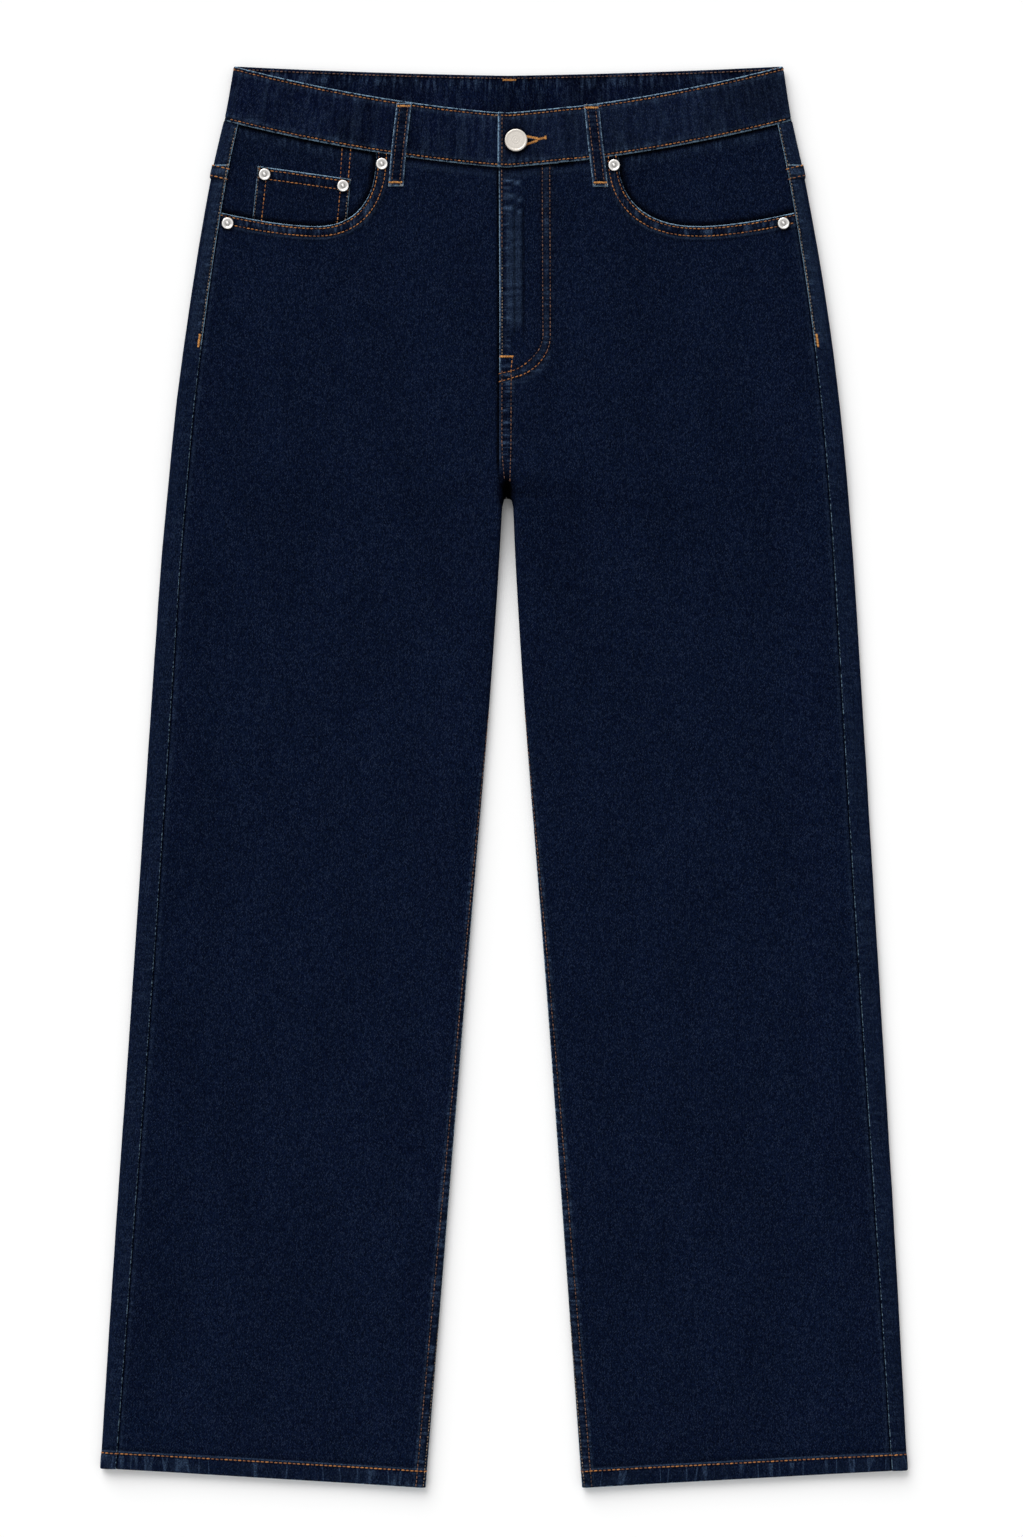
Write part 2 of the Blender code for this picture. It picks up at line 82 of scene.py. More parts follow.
# Half width of the garment and where its centre line runs, from the hems to the waist
outline = dict(
    y=np.array([footY, -348, -198, -48, 72, 162, 222, 282, 342, 402, 458, 500, 532], float),
    outer=np.array([303.0, 292.8, 283.1, 273.5, 265.8, 259.8, 254.6, 248.6, 240.7, 231.3, 220.9, 211.5, 206]),
    middle=np.array([-0.3, 0.5, 1.2, 1.6, 2.0, 2.3, 2.7, 2.8, 3.0, 2.8, 2.6, 2.8, 3.2]),
)

waistline = dict(
    height=41.0, half=212.0, halfTop=206.2, frontTop=497.2, frontRise=35.3, backTop=526.2, backRise=7.0,
    top=8.1, under=1.5, overlapEnd=-7.5, underlapEnd=38.0, overlapRaise=2.7, rampLow=40.0, rampHigh=55.0,
    foldAt=209.0, rowTop=2.4, rowLow=2.0, rowEnd=3.1,
)

pocketMouth = dict(middle=145.0, low=412.5, power=2.4, rise=12.7, run=80.0, reach={1: 62.0, -1: 46.5})


def smooth(value, low, high):
    # 0 up to the low end, easing up to 1 at the high end.
    t = np.clip((np.asarray(value, float) - low) / (high - low), 0.0, 1.0)
    return t * t * (3 - 2 * t)


def falling(value, low, high):
    # 1 up to the low end, easing down to 0 at the high end.
    return 1 - smooth(value, low, high)


def mix(a, b, t):
    return a + (b - a) * t


def bump(value, centre, width):
    return np.exp(-((np.asarray(value, float) - centre) / width) ** 2)


def window(value, low, high, soft):
    # 1 between two places, with soft ends.
    return smooth(value, low - soft, low + soft) * falling(value, high - soft, high + soft)


def ripple(run, pitch, seed):
    # An uneven wave: neighbouring puckers differ in height and spacing.
    run = np.asarray(run, float) / pitch
    drift = 0.35 * np.sin(1.7 * run + seed) + 0.22 * np.sin(0.61 * run + 2.1 * seed)
    size = 0.65 + 0.35 * np.sin(0.83 * run + 1.3 * seed)
    return size * np.sin(2 * math.pi * (run + drift))


def hermite(knots, values, at):
    # A smooth curve through values at growing knots.
    slope = np.empty_like(values)
    slope[1:-1] = (values[2:] - values[:-2]) / (knots[2:] - knots[:-2])
    slope[0] = (values[1] - values[0]) / (knots[1] - knots[0])
    slope[-1] = (values[-1] - values[-2]) / (knots[-1] - knots[-2])
    at = np.clip(np.asarray(at, float), knots[0], knots[-1])
    k = np.clip(np.searchsorted(knots, at, side="right") - 1, 0, len(knots) - 2)
    span = knots[k + 1] - knots[k]
    t = (at - knots[k]) / span
    return (values[k] * (1 + 2 * t) * (1 - t) ** 2 + slope[k] * span * t * (1 - t) ** 2
            + values[k + 1] * t * t * (3 - 2 * t) + slope[k + 1] * span * t * t * (t - 1))


def lengthAlong(points):
    # The length of a line up to each of its points, seen from above.
    return np.concatenate([[0], np.cumsum(np.hypot(*np.diff(points[:, :2], axis=0).T))])


def softCurve(points, step=2.0, more=1):
    # A smooth line through a few points, in steps of about a given length.
    points = np.asarray(points, float)
    knots = lengthAlong(points)
    at = np.linspace(0, knots[-1], max(2, int(knots[-1] / step) + more))
    return np.stack([hermite(knots, values, at) for values in points.T], 1)


def outer(y):
    return hermite(outline["y"], outline["outer"], y)


def middle(y):
    return hermite(outline["y"], outline["middle"], y)


def inner(y):
    depth = np.maximum(0.0, garment["crotch"] - np.asarray(y, float))
    (ease, over), (bow, *hollow) = garment["legEase"], garment["legBow"]
    bowed = garment["legSpread"] * depth - ease * (1 - np.exp(-depth / over)) - bow * bump(depth, *hollow)
    return (garment["crotchWidth"] / 2 + bowed) * (1 - np.exp(-depth / garment["crotchRound"]))


def outseam(y):
    low = garment["hemInner"]
    high = waistline["backTop"] - waistline["height"]
    lean = np.sin(math.pi * np.clip((np.asarray(y, float) - low) / (high - low), 0, 1))
    return outer(y) - garment["outseamInset"] - garment["outseamSwing"] * lean


def lift(y):
    return garment["hipLift"] * smooth(y, garment["liftLow"], garment["liftHigh"])


def rolled(y):
    return falling(y, garment["crotch"] - 10, garment["crotch"])


def innerRoll(y, t):
    # Cloth rolling in at a leg's inner fold: the distance from the fold, how far off the flat, and the angle.
    roll, crotch, turnedIn = garment["roll"], garment["crotch"], rolled(y)
    angle = mix(0.12 + 0.16 * smooth(y, crotch - 45, crotch - 15), math.pi / 2, t ** 2.2)
    return mix(roll * t, roll * (1 - np.cos(angle)), turnedIn), turnedIn * roll * (1 - np.sin(angle)), angle


def frontEdge(side, y):
    crotch = garment["crotch"]
    lap = garment["flyLap"] * (side < 0)
    return (inner(y) + side * garment["flyShift"] * smooth(y, crotch - 6, crotch + 20)
            - lap * smooth(y, crotch + 14, crotch + 40))


def sag(across, y):
    low = garment["hemInner"]
    depth = garment["thighSag"] * falling(y, 150, 235) - garment["hemSag"] * falling(y, low + 30, low + 110)
    fromFold = np.minimum(outer(y) - across, across - inner(y))
    return np.maximum(0.0, depth) * smooth(fromFold, 12, 58)


def frontLevel(side, across, y):
    top = lift(y) + 2 * garment["roll"] - sag(across, y)
    if side > 0:
        crotch = garment["crotch"]
        top = top + garment["flyRaise"] * falling(across, 14, 44) * smooth(y, crotch - 2, crotch + 13)
    return top


def bandTop(across, part, half):
    # The height of the waistband's top edge, in the front or the back part.
    t = np.minimum(1.0, np.abs(across) / half)
    return waistline[part + "Top"] + waistline[part + "Rise"] * (0.48 * t + 0.52 * t * t)


def bandBottom(across, part="front"):
    return bandTop(across, part, waistline["half"]) - waistline["height"]


def bandLevel(across):
    w = waistline
    return w["top"] + w["overlapRaise"] * falling(across, w["rampLow"], w["rampHigh"])


def yokeSeam(share):
    return mix(garment["yokeCentre"], garment["yokeSide"], share)


def mouthStart(side):
    return pocketMouth["middle"] - pocketMouth["reach"][side]


def mouthColumns(side, steps):
    # Distances across from the mouth's start to its middle, closest where it is steep.
    run = 1 - np.linspace(0, 1, steps) ** 1.8
    return pocketMouth["middle"] - pocketMouth["reach"][side] * run


def mouthHeight(side, across):
    # The front pocket's edge as a height for each distance across, for across past its start.
    m = pocketMouth
    reach = m["reach"][side]
    drop = bandBottom(m["middle"] - reach) - m["low"]
    run = np.clip((m["middle"] - across) / reach, 0, 1)
    fall = (1 - run ** m["power"]) ** (1 / m["power"])
    rise = m["rise"] * np.clip((across - m["middle"]) / m["run"], 0, None) ** 1.6
    return m["low"] + drop * (1 - fall) + rise


def mouthLine(side, steps=60):
    # The same edge as a line of points from the waistband to the outseam.
    m = pocketMouth
    second = np.linspace(m["middle"], m["middle"] + m["run"], 30)[1:]
    across = np.concatenate([mouthColumns(side, steps), second])
    return np.stack([across, mouthHeight(side, across)], 1)


def nearLine(x, y, line):
    # Distance to a line of points, and how far along the line its nearest point is.
    x, y = np.asarray(x, float), np.asarray(y, float)
    best = np.full(x.shape, 1e9)
    run = np.zeros(x.shape)
    total = 0.0
    for a, b in zip(line[:-1], line[1:]):
        d = b - a
        length = float(np.hypot(*d))
        t = np.clip(((x - a[0]) * d[0] + (y - a[1]) * d[1]) / (length * length + 1e-12), 0, 1)
        gap = np.hypot(x - a[0] - t * d[0], y - a[1] - t * d[1])
        closer = gap < best
        best = np.where(closer, gap, best)
        run = np.where(closer, total + t * length, run)
        total += length
    return best, run


def curl(distance, radius):
    # How far a turned edge rounds down at a distance from its end.
    d = np.clip(np.asarray(distance, float), 0, radius)
    return radius - np.sqrt(np.maximum(0.0, radius * radius - (radius - d) ** 2))


def mark(marks, **more):
    # Adds to a piece's marks: the nearest edge, the deepest shade, and wear on wear.
    for key, value in more.items():
        if key not in marks:
            marks[key] = value
        elif key == "edge":
            marks[key] = np.minimum(marks[key], value)
        elif key == "shade":
            marks[key] = np.maximum(marks[key], value)
        else:
            marks[key] = marks[key] + value


def sewnRow(marks, gap, place, present=1.0, depth=0.42):
    # A stitch row pulls the cloth down and shades it beside the thread.
    mark(marks, shade=0.55 * present * bump(gap, place, 1.3))
    return -depth * present * bump(gap, place, 0.8)


def makeMesh(name, points, marks, uv, ring=False, flip=False):
    # A grid of points (rows, columns, 3) in millimetres as a mesh with its marks and cloth UVs.
    rows, cols = points.shape[:2]
    index = np.arange(rows * cols).reshape(rows, cols)
    if ring:
        index = np.concatenate([index, index[:1]], 0)
    a, b = index[:-1, :-1], index[:-1, 1:]
    c, d = index[1:, 1:], index[1:, :-1]
    faces = np.stack([a, d, c, b] if flip else [a, b, c, d], -1).reshape(-1, 4)
    mesh = bpy.data.meshes.new(name)
    mesh.from_pydata((points.reshape(-1, 3) * mm).tolist(), [], faces.tolist())
    layer = mesh.uv_layers.new(name="cloth")
    loops = np.empty(len(mesh.loops), dtype=np.int32)
    mesh.loops.foreach_get("vertex_index", loops)
    layer.data.foreach_set("uv", (uv.reshape(-1, 2)[loops] * mm).astype(np.float32).ravel())
    for key, values in marks.items():
        attribute = mesh.attributes.new(key, "FLOAT", "POINT")
        most = 99 if key == "edge" else 1
        values = np.clip(np.broadcast_to(np.asarray(values, float), (rows, cols)), 0, most)
        attribute.data.foreach_set("value", values.astype(np.float32).ravel())
    mesh.shade_smooth()
    return mesh


def newObject(name, data):
    obj = bpy.data.objects.new(name, data)
    bpy.context.scene.collection.objects.link(obj)
    return obj


def addPiece(name, mesh, material, slotName):
    obj = newObject(name, mesh)
    mesh.materials.append(material)
    obj["slotName"] = slotName
    return obj


def thicken(obj, wall, group=None):
    # Gives a sheet its thickness, in a share of it where the cloth has fewer layers.
    tool = obj.modifiers.new("wall", "SOLIDIFY")
    tool.offset = -1
    tool.thickness = wall * mm
    if group is not None:
        layers = obj.vertex_groups.new(name="layers")
        for weight in np.unique(group):
            layers.add(np.flatnonzero(group.ravel() == weight).tolist(), float(weight), "REPLACE")
        tool.vertex_group = layers.name
    return obj


def clothPiece(name, points, marks, uv, flip=False, wall=garment["cloth"], group=None):
    # A denim piece from a grid of points: its mesh, its thickness, and its mesh settled.
    mesh = makeMesh(name, points, marks, uv, flip=flip)
    return settle(thicken(addPiece(name, mesh, materials["denim"], "denim"), wall, group))


def ringPiece(name, points, marks, uv, flip=False):
    # A worn denim strip closed round its section.
    mesh = makeMesh(name, points, marks, uv, ring=True, flip=flip)
    weld(mesh)
    return addPiece(name, mesh, materials["denimWorn"], "denim_worn")


def bake(obj):
    # Applies an object's modifiers, so that its final mesh can be measured and sewn on.
    graph = bpy.context.evaluated_depsgraph_get()
    obj.data = bpy.data.meshes.new_from_object(obj.evaluated_get(graph))
    obj.modifiers.clear()
    return obj


def settle(obj):
    bake(obj).data.set_sharp_from_angle(angle=math.radians(65))
    return obj


def weld(mesh, facingOut=False):
    # Joins points that meet, so that rounded ends and poles are closed, and can turn every face outward.
    shape = bmesh.new()
    shape.from_mesh(mesh)
    bmesh.ops.remove_doubles(shape, verts=shape.verts, dist=0.002 * mm)
    if facingOut:
        bmesh.ops.recalc_face_normals(shape, faces=shape.faces)
    shape.to_mesh(mesh)
    shape.free()


def surfaceOf(*objects):
    # A tree of the finished meshes, to lay stitches on.
    verts, faces = [], []
    for obj in objects:
        start = len(verts)
        verts.extend(v.co.copy() for v in obj.data.vertices)
        faces.extend([start + i for i in p.vertices] for p in obj.data.polygons)
    return BVHTree.FromPolygons(verts, faces)


def newGroup(name, inputs, outputs, kind="ShaderNodeTree", result="Float"):
    # A node group. An input is given by its default number, or by its type when it has none.
    tree = bpy.data.node_groups.new(name, kind)
    for label, value in inputs.items():
        plain = {float: "Float", int: "Int"}.get(type(value), value)
        socket = tree.interface.new_socket(name=label, in_out="INPUT", socket_type="NodeSocket" + plain)
        if plain != value:
            socket.default_value = value
    for label in outputs:
        tree.interface.new_socket(name=label, in_out="OUTPUT", socket_type="NodeSocket" + result)
    return tree, tree.nodes.new("NodeGroupInput"), tree.nodes.new("NodeGroupOutput")


def feed(socket, value):
    # Links a socket, or a node's first output, to an input, or sets the input to a plain value.
    if isinstance(value, bpy.types.Node):
        value = value.outputs[0]
    if isinstance(value, bpy.types.NodeSocket):
        socket.id_data.links.new(value, socket)
    else:
        socket.default_value = value


def fill(made, **inputs):
    # Feeds a node's inputs, which are named, or numbered as i0, i1 and so on.
    for key, value in inputs.items():
        feed(made.inputs[int(key[1:]) if key[1:].isdigit() else key], value)


def node(tree, kind, settings=None, **inputs):
    made = tree.nodes.new(kind)
    for key, value in (settings or {}).items():
        setattr(made, key, value)
    fill(made, **inputs)
    return made


def treeOf(*values):
    return next(v.id_data for v in values if isinstance(v, bpy.types.NodeSocket))


def math1(operation, a, b=0.0, clamp=False):
    settings = {"operation": operation, "use_clamp": clamp}
    return node(treeOf(a, b), "ShaderNodeMath", settings, i0=a, i1=b).outputs[0]


def plus(first, *others, clamp=False):
    for other in others:
        first = math1("ADD", first, other, clamp)
    return first


def times(first, *others, clamp=False):
    for other in others:
        first = math1("MULTIPLY", first, other, clamp)
    return first


def oneMinus(value):
    return math1("SUBTRACT", 1.0, value, True)


def mixValue(factor, a, b):
    difference = node(factor.id_data, "ShaderNodeMath", {"operation": "SUBTRACT"}, i0=b, i1=a)
    return plus(a, times(factor, difference.outputs[0]))


def remap(value, low, high, toLow=0.0, toHigh=1.0, curve="SMOOTHSTEP"):
    made = node(value.id_data, "ShaderNodeMapRange", {"interpolation_type": curve}, i0=value, i1=low, i2=high,
                i3=toLow, i4=toHigh)
    return made.outputs[0]


def blendColour(factor, a, b, mode="MIX"):
    settings = {"data_type": "RGBA", "blend_type": mode}
    return node(treeOf(factor, a), "ShaderNodeMix", settings, i0=factor, i6=a, i7=b).outputs[2]


def vectorMath(operation, a, b):
    return node(a.id_data, "ShaderNodeVectorMath", {"operation": operation}, i0=a, i1=b)


def stretched(place, scale):
    return vectorMath("MULTIPLY", place, scale).outputs[0]


def noise(place, scale, detail=1.0, roughness=0.5):
    # Noise over a place, scaled along each axis.
    made = node(place.id_data, "ShaderNodeTexNoise", Vector=stretched(place, scale), Scale=1.0,
                Detail=detail, Roughness=roughness)
    return made.outputs[0]


def inMillimetres(place):
    return stretched(place, (1 / mm, 1 / mm, 1 / mm))


def twillGroup():
    # Denim seen close: warp yarns whose floats step up into a twill, each dyed a little differently,
    # with slubs and the dye's mottle over them.
    tree, start, end = newGroup("twill", dict(Cloth="Vector", Yarn=0.6, Float=1.4, Slub=0.5),
                                ("Mottle", "Speck", "Cloud", "Grain", "Height"))
    cloth = inMillimetres(start.outputs["Cloth"])
    parts = node(tree, "ShaderNodeSeparateXYZ", i0=cloth)
    across = plus(parts.outputs[0], times(noise(cloth, (0.4, 0.4, 0.4)), 0.9))
    column = math1("DIVIDE", across, start.outputs["Yarn"])
    yarn = math1("FLOOR", column)
    along = plus(math1("DIVIDE", parts.outputs[1], start.outputs["Float"]), times(yarn, 0.32))
    cell = node(tree, "ShaderNodeCombineXYZ", i0=yarn, i1=math1("FLOOR", along))
    chance = node(tree, "ShaderNodeTexWhiteNoise", {"noise_dimensions": "2D"}, Vector=cell)
    dyed = chance.outputs[0]
    roundness = [math1("SINE", times(math1("FRACT", place), math.pi)) for place in (column, along)]
    rib = times(roundness[0], math1("POWER", roundness[1], 0.5))
    warp, weft = noise(cloth, (0.80, 0.17, 1.0)), noise(cloth, (0.17, 0.80, 1.0))
    strokes = mixValue(start.outputs["Slub"], weft, warp)
    mottle = plus(times(noise(cloth, (1.0, 0.92, 1.0), 1.5), 0.60), times(strokes, 0.26),
                  times(noise(cloth, (0.15, 0.13, 1.0), 2.0, 0.6), 0.14))
    fill(end, Mottle=remap(mottle, 0.36, 0.66), Speck=remap(dyed, 0.72, 1.0),
         Cloud=remap(noise(cloth, (0.024, 0.009, 1.0), 3.0, 0.6), 0.3, 0.7),
         Grain=plus(times(rib, plus(times(dyed, 2.05), 0.75)), 0.13), Height=plus(times(rib, 0.35), mottle))
    return tree


def wearGroup():
    # Where a turned edge has rubbed pale: a thin broken line next to the edge.
    tree, start, end = newGroup("edgeWear", dict(Cloth="Vector", Distance=9.0, Width=0.9), ("Mask",))
    cloth = inMillimetres(start.outputs["Cloth"])
    uneven = noise(cloth, (0.45, 0.45, 1.0), 3.0, 0.6)
    reach = times(start.outputs["Width"], remap(uneven, 0.30, 0.68, 0.25, 1.5))
    inside = oneMinus(math1("DIVIDE", start.outputs["Distance"], reach))
    threads = remap(noise(cloth, (1.6, 1.6, 1.0)), 0.3, 0.6, 0.45, 1.25)
    fill(end, Mask=times(inside, threads, clamp=True))
    return tree


def puckerGroup():
    # Puckers that sewing leaves once washed, from -1 in a hollow, which the denim darkens as painted shade,
    # to 1 on a rubbed ridge: short ones up and down or across the cloth, and long sparse ones.
    tree, start, end = newGroup("puckers", dict(Cloth="Vector"), ("Tuck", "Notch", "Streak"))
    cloth = inMillimetres(start.outputs["Cloth"])
    frayed = remap(noise(cloth, (1.3, 1.1, 1.0)), 0.3, 0.62, 0.35, 1.0)
    tuck, notch = [times(remap(noise(cloth, scale, 2.0, 0.55), 0.38, 0.64, -1.0, 1.0, "LINEAR"), frayed)
                   for scale in ((0.36, 0.06, 1.0), (0.05, 0.33, 1.0))]
    off = math1("ABSOLUTE", math1("SUBTRACT", noise(cloth, (0.080, 0.010, 1.0)), 0.5))
    line, hollow = remap(off, 0.004, 0.032, 1.0, 0.0), remap(off, 0.03, 0.09, 0.0, -0.35)
    fill(end, Tuck=tuck, Notch=notch, Streak=plus(times(line, frayed), hollow))
    return tree


twill = twillGroup()
edgeWear = wearGroup()
puckers = puckerGroup()


def newMaterial(name):
    material = bpy.data.materials.new(name)
    material.use_nodes = True
    tree = material.node_tree
    return material, tree, tree.nodes["Principled BSDF"]


def grey(value):
    return node(value.id_data, "ShaderNodeCombineColor", i0=value, i1=value, i2=value).outputs[0]


def given(tree, name):
    # What a piece's points say under a name.
    return node(tree, "ShaderNodeAttribute", {"attribute_name": name}).outputs["Fac"]


def grouped(tree, group, **inputs):
    return node(tree, "ShaderNodeGroup", {"node_tree": group}, **inputs).outputs


def dress(shader, colour, roughness, strength, depth, height):
    # A surface's colour, roughness and fine relief.
    relief = node(shader.id_data, "ShaderNodeBump", Strength=strength, Distance=depth, Height=height)
    feed(shader.inputs["Base Color"], colour)
    feed(shader.inputs["Roughness"], roughness)
    feed(shader.inputs["Normal"], relief)


def denim(name, dye):
    # Denim from one dye: deep and mid indigo, pale specks, the paler blue of rubbed edges, and painted shade.
    material, tree, shader = newMaterial(name)
    cloth = node(tree, "ShaderNodeUVMap", {"uv_map": "cloth"}).outputs[0]
    weave = grouped(tree, twill, Cloth=cloth, Yarn=dye["yarn"], Float=dye["float"], Slub=dye["slub"])
    wear = grouped(tree, edgeWear, Cloth=cloth, Distance=given(tree, "edge"), Width=dye["edgeWidth"])
    folds = grouped(tree, puckers, Cloth=cloth)
    pull = plus(*[times(folds[key.capitalize()], given(tree, key)) for key in ("tuck", "notch", "streak")])

    colour = blendColour(weave["Mottle"], dye["deep"], dye["light"])
    colour = blendColour(times(weave["Speck"], 0.19), colour, dye["speck"])
    clouded = remap(weave["Cloud"], 0.0, 1.0, dye["cloudLow"], dye["cloudHigh"])
    colour = blendColour(1.0, colour, grey(times(clouded, weave["Grain"])), "MULTIPLY")
    rubbed = times(plus(given(tree, "worn"), math1("MAXIMUM", pull, 0.0)),
                   remap(weave["Mottle"], 0.1, 0.9, 0.35, 1.3), clamp=True)
    colour = blendColour(rubbed, colour, dye["rubbed"])
    colour = blendColour(wear["Mask"], colour, dye["pale"])
    # painted shade: the colour darkens in the puckers' hollows and where the piece's shade marks are
    hollow = times(math1("MINIMUM", pull, 0.0), -0.55)
    kept = times(oneMinus(given(tree, "shade")), oneMinus(hollow))
    colour = blendColour(1.0, colour, grey(kept), "MULTIPLY")
    dress(shader, colour, remap(weave["Mottle"], 0.0, 1.0, 0.96, 0.84), dye["bump"], 0.0004,
          plus(weave["Height"], times(pull, 0.30)))
    shader.inputs["Specular IOR Level"].default_value = 0.012
    return material


def thread(name, dark, light, roughness=0.55):
    # Thread whose stitches differ a little in colour.
    material, tree, shader = newMaterial(name)
    place = node(tree, "ShaderNodeTexCoord").outputs["Object"]
    twist = noise(place, (2600.0, 2600.0, 2600.0))
    factor = plus(times(given(tree, "tint"), 0.8), times(math1("SUBTRACT", twist, 0.4), 0.6), clamp=True)
    dress(shader, blendColour(factor, dark, light), remap(twist, 0.2, 0.8, roughness, roughness + 0.2),
          0.4, 0.0001, twist)
    shader.inputs["Specular IOR Level"].default_value = 0.25
    return material


def metal(name, bright, dull, roughness):
    # Plated metal with fine rubbing, tarnished in its low places, and with painted shadow where a
    # rivet's rim meets the cloth.
    material, tree, shader = newMaterial(name)
    rub = noise(node(tree, "ShaderNodeTexCoord").outputs["Object"], (900.0, 900.0, 900.0), 3.0, 0.6)
    tarnishAndShade = plus(times(given(tree, "hollow"), 0.85), times(rub, 0.2), clamp=True)
    dress(shader, blendColour(tarnishAndShade, bright, dull), remap(rub, 0.2, 0.8, roughness - 0.05, roughness + 0.1),
          0.15, 0.0001, rub)
    shader.inputs["Metallic"].default_value = 1.0
    return material


indigo = dict(
    deep=(0.0015, 0.0035, 0.0152, 1), light=(0.0045, 0.0093, 0.0246, 1), speck=(0.022, 0.030, 0.044, 1),
    rubbed=(0.044, 0.076, 0.140, 1), pale=(0.28, 0.44, 0.60, 1), yarn=0.66, float=1.25, slub=0.8,
    edgeWidth=1.0, bump=0.45, cloudLow=0.93, cloudHigh=1.07,
)
fadedIndigo = {**indigo, "light": (0.0026, 0.0052, 0.0165, 1), "slub": 0.35, "cloudLow": 0.70,
               "cloudHigh": 1.3}
materials = dict(
    denim=denim("denim", indigo),
    denimWorn=denim("denimWorn", fadedIndigo),
    copper=thread("copperThread", (0.12, 0.042, 0.020, 1), (0.46, 0.185, 0.050, 1)),
    orange=thread("orangeThread", (0.36, 0.15, 0.040, 1), (0.70, 0.33, 0.085, 1)),
    russet=thread("russetThread", (0.032, 0.016, 0.015, 1), (0.19, 0.095, 0.062, 1)),
    cream=thread("frayedThread", (0.16, 0.14, 0.12, 1), (0.62, 0.56, 0.47, 1), 0.8),
    salt=thread("fadedThread", (0.014, 0.010, 0.012, 1), (0.27, 0.20, 0.145, 1)),
    tape=thread("zipTape", (0.006, 0.009, 0.018, 1), (0.016, 0.022, 0.038, 1), 0.8),
    brass=metal("brass", (0.42, 0.34, 0.20, 1), (0.10, 0.08, 0.06, 1), 0.36),
    nickel=metal("nickel", (0.62, 0.58, 0.53, 1), (0.30, 0.28, 0.26, 1), 0.46),
    # the rivets' dull colour is nearly black: it darkens the head's dish, and paints shadow on its lowest rim
    rivetNickel=metal("rivetNickel", (0.86, 0.84, 0.81, 1), (0.02, 0.02, 0.02, 1), 0.30),
)
print("materials ready")


def clothUv(points, start, side=1):
    # Cloth coordinates: the length along each row of points, and the height.
    step = np.diff(points, axis=1)
    length = np.cumsum(np.hypot(step[..., 0], step[..., 2]), axis=1)
    run = np.concatenate([np.zeros((len(points), 1)), length], 1)
    run = points[:, start:start + 1, 0] + side * (run - run[:, start:start + 1])
    return np.stack([run, points[..., 1]], -1)


def swell(x, y, seed, size):
    # The soft unevenness of cloth that has been worn and washed.
    total = np.zeros(np.broadcast(x, y).shape)
    for k in range(7):
        angle = seed * 1.7 + k * 2.39
        wave = size * (0.6 + 0.23 * ((k * 5 + seed) % 7))
        phase = seed * 0.9 + k * 1.3
        total += np.sin((x * math.cos(angle) + y * math.sin(angle)) * 2 * math.pi / wave + phase)
    return total / 7


def creases(x, y, table):
    # Soft ridges and troughs, each a line of points with its height and half width.
    total = np.zeros(np.broadcast(x, y).shape)
    for height, width, points in table:
        line = softCurve(points, 6.0)
        gap, run = nearLine(x, y, line)
        fade = np.sin(math.pi * np.clip(run / lengthAlong(line)[-1], 0.02, 0.98)) ** 0.7
        total += height * fade * np.exp(-(gap / width) ** 2)
    return total


def hemHeight(side, across, y):
    g = garment
    return y - g["hemInner"] - g["hemRise"][side] * (across - inner(g["hemInner"]))


def hemRelief(marks, x, h, seed):
    # A turned hem: it stands up to its stitch line, and its edge has roped into puckers.
    depth = garment["hemDepth"]
    inBand = window(h, 0.6, depth - 0.8, 0.8)
    rope = ripple(x + 0.35 * h, 7.5, seed) * inBand
    patch = np.maximum(0, swell(x, h * 2, seed, 55))
    # the pale line just above the stitch row is wear on the hem's top edge and a painted highlight there
    mark(marks, edge=np.where(h < 6, h + 0.5, noEdge), streak=0.50 * inBand,
         worn=inBand * (0.01 + 0.10 * patch + 0.05 * np.maximum(0, rope)) + 0.80 * bump(h, depth + 1.4, 0.5),
         shade=0.35 * bump(h, depth + 3.2, 1.6))
    rise = 0.5 * falling(h, depth + 0.3, depth + 1.6)
    return rise + 0.26 * rope - curl(h, 1.1) + sewnRow(marks, h, depth, 1.0, 0.5)


inseam = dict(start=77.0, run=609.0, width=7.5, apart=5.6)


def inseamRows(y):
    # The inseam's two stitch rows come up over the inner fold towards the hem.
    second = inseam["width"] * (inseam["start"] - np.asarray(y, float)) / inseam["run"]
    return second - inseam["apart"], second


buttonhole = dict(centre=(8.8, 476.1), eyelet=3.7, armStart=17.0, armHalf=2.1, tip=(24.6, 476.9), tipHalf=0.3,
                  barEnd=(31.0, 478.3))
rivets = [
    dict(node="rivet_right_top", at=(-91.7, 459.2), level=7.8),
    dict(node="rivet_right_side", at=(-207.3, 414.6), level=7.8),
    dict(node="rivet_coin_outer", at=(-179.7, 451.5), level=6.3),
    dict(node="rivet_coin_inner", at=(-120.9, 442.9), level=6.3),
    dict(node="rivet_left_top", at=(82.3, 458.2), level=7.8),
    dict(node="rivet_left_side", at=(209.3, 414.6), level=7.8),
]


def rivetSpots(low, high):
    return [r["at"] for r in rivets if low < r["level"] < high]


def underBand(gap):
    # Shade on the cloth next to the waistband's low edge.
    return 0.82 * falling(gap, 1.2, 4.2)


def underMouth(side, across, y):
    # Shade on what lies under the front pocket's opening, next to its edge.
    gap, _ = nearLine(across, y, mouthLine(side))
    return 0.85 * falling(gap, 1.5, 6.5)


def pressedAndShaded(marks, x, y, spots, radius):
    # Each head presses the cloth down, with a ring of painted shade round it.
    ring = sum(bump(np.hypot(x - a, y - b), radius, 1.0) for a, b in spots)
    mark(marks, shade=0.85 * np.minimum(1, ring))
    return -0.25 * ring


